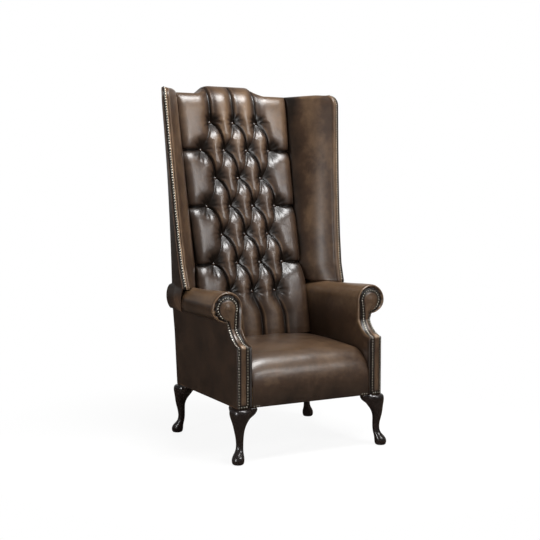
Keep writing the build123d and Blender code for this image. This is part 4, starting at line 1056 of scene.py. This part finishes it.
def outside_wing_place(i, j):
    share = i / outside_columns
    if j >= drape_rows:
        z = max(wing_height(j - drape_rows), wing_foot)
        p = WingPlan(min(z, wing_top - 0.6))
        belly = 2.5 * math.sin(math.pi * share) * smooth_step(wing_top, wing_top - 60, z)
        rise = max(z - (wing_top - wing_cap), 0) / wing_cap
        kept = max(1 - rise ** 3, 0) ** (1 / 3)
        x, y = p.at((p.length - 0.4) * share, between(wing_ridge + 1.5, -belly, kept))
        z += wing_crown * smooth_step(0, 1, rise) * smooth_step(p.length - 15, p.length - 70, p.length * share)
        return (x, y, z), 0.3 + 0.4 * smooth_step(0.96, 1.0, share)
    p = WingPlan(wing_foot)
    t = 1 - j / drape_rows
    z = between(wing_foot, panel_top, t)
    a = p.at((p.length - 0.4) * share, 0)
    low = (between(half_width, 366, share), between(rear_face(panel_top) - 1, 458, share))
    swell = math.sin(math.pi * t) * smooth_step(0.0, 0.45, share) * between(17, 8.5, smooth_step(0.6, 1.0, share))
    x, y = between(a[0], low[0], t) + swell, between(a[1], low[1], t)
    # Behind, it lies on the arm's roll and is drawn down to the rear edge past its end.
    over = roll_x + (rear_reach(y) - 1) * math.sqrt(max(1 - ((z - roll_z) / 57) ** 2, 0)) - x
    x += max(over, 0) * smooth_step(0.0, 0.09, share) * smooth_step(0.75, 0.5, share)
    return (x, y, z), 0.3 + 0.55 * smooth_step(0.0, 0.6, t) * smooth_step(0.2, 0.7, share)


for side, hand in ((-1, "left"), (1, "right")):
    inside = laid_out(f"wing_inside_{hand}", sum(wing_spans), wing_rows + corner_rows, inside_wing_place, side)
    apply_modifier(inside, "SOLIDIFY", thickness=0.0025, offset=-1)
    finish_piece(inside, antique_leather, "leather", f"inside_wing_cover_{hand}", f"wing_pad_{hand}",
                 f"wing_facing_{hand}")
    outside = laid_out(f"wing_outside_{hand}", outside_columns, drape_rows + wing_rows + corner_rows,
                       outside_wing_place, side)
    outside.data.flip_normals()
    apply_modifier(outside, "SOLIDIFY", thickness=0.0028, offset=-1)
    finish_piece(outside, dark_leather, "dark_leather", f"outside_wing_cover_{hand}")


# Outside back: one flat hide from the seat rail to the crest, tacked blind along its edges.
outer_steps = 60
hide_foot = 217.0


def outside_back_place(i, j):
    u, v = i / (outer_steps / 2) - 1, j / outer_steps
    z = between(hide_foot, wing_top, v)
    half = rear_half_width(min(z, wing_top)) - 0.5
    x = u * half
    lift = smooth_step(0.55, 1.0, v)
    top = crest_line(x) - 1.5
    z = between(z, between(hide_foot, top, v), lift)
    belly = 4 * (1 - u * u) * math.sin(math.pi * v) ** 0.5
    edge = 1 - min((1 - abs(u)) * half / 6, 1)
    return (x, rear_face(z) + belly - 2.5 * edge ** 2, z), 0.12 + 0.25 * edge


outside_back = laid_out("outside_back", outer_steps, outer_steps, outside_back_place)
outside_back.data.flip_normals()
apply_modifier(outside_back, "SOLIDIFY", thickness=0.0028, offset=-1)
finish_piece(outside_back, dark_leather, "dark_leather", "outside_back_cover")


# Studs: brass heads, pressed and antiqued, bright on the crown and nearly black round the rim with old wax and painted
# shade where the head meets the leather.
# The CAD's own heads are shown; each point of a head is told how far it lies out from the crown.
def paint_rim_shade(piece):
    mesh = piece.data
    head = list(range(len(mesh.vertices)))

    def first(v):
        while head[v] != v:
            v = head[v]
        return v

    for edge in mesh.edges:
        a, b = sorted(first(v) for v in edge.vertices)
        head[b] = a
    groups = {}
    for v in range(len(head)):
        groups.setdefault(first(v), []).append(v)
    rim_shades = [0.0] * len(head)
    for group in groups.values():
        centre = sum((mesh.vertices[v].co for v in group), Vector()) / len(group)
        reach = max((mesh.vertices[v].co - centre).length for v in group)
        for v in group:
            rim_shades[v] = smooth_step(0.5, 0.95, (mesh.vertices[v].co - centre).length / reach)
    mesh.attributes.new("rim_shade", "FLOAT", "POINT").data.foreach_set("value", rim_shades)


aged_brass = bpy.data.materials.new("aged_brass")
tree, output = clean_tree(aged_brass, "ShaderNodeOutputMaterial")
coords = add_node(tree, "ShaderNodeTexCoord")
patches = add_node(tree, "ShaderNodeTexNoise", {"Vector": coords.outputs["Object"], "Scale": 160.0})
rim_shade = add_node(tree, "ShaderNodeAttribute", attribute_name="rim_shade")
crown_tone = add_node(tree, "ShaderNodeMix", {0: patches.outputs["Fac"], 6: linear("#7d776c"), 7: linear("#bab5aa")},
                      data_type="RGBA")
# Towards the rim the colour goes to near-black: old wax with painted shade.
tone = add_node(tree, "ShaderNodeMix", {0: rim_shade.outputs["Fac"], 6: crown_tone.outputs[2], 7: linear("#14110d")},
                data_type="RGBA")
dents = bump_from(tree, patches.outputs["Fac"], 0.2, 0.0003)
skin = add_node(tree, "ShaderNodeBsdfPrincipled", {
    "Base Color": tone.outputs[2], "Metallic": 1.0, "Roughness": 0.32, "Normal": dents.outputs[0]})
tree.links.new(skin.outputs[0], output.inputs["Surface"])
for name in ("arm_studs_left", "arm_studs_right", "wing_studs_left", "wing_studs_right"):
    paint_rim_shade(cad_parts[name])
    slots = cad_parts[name].data.materials
    slots.clear()
    slots.append(aged_brass)

bpy.context.scene.view_settings.view_transform = "Standard"
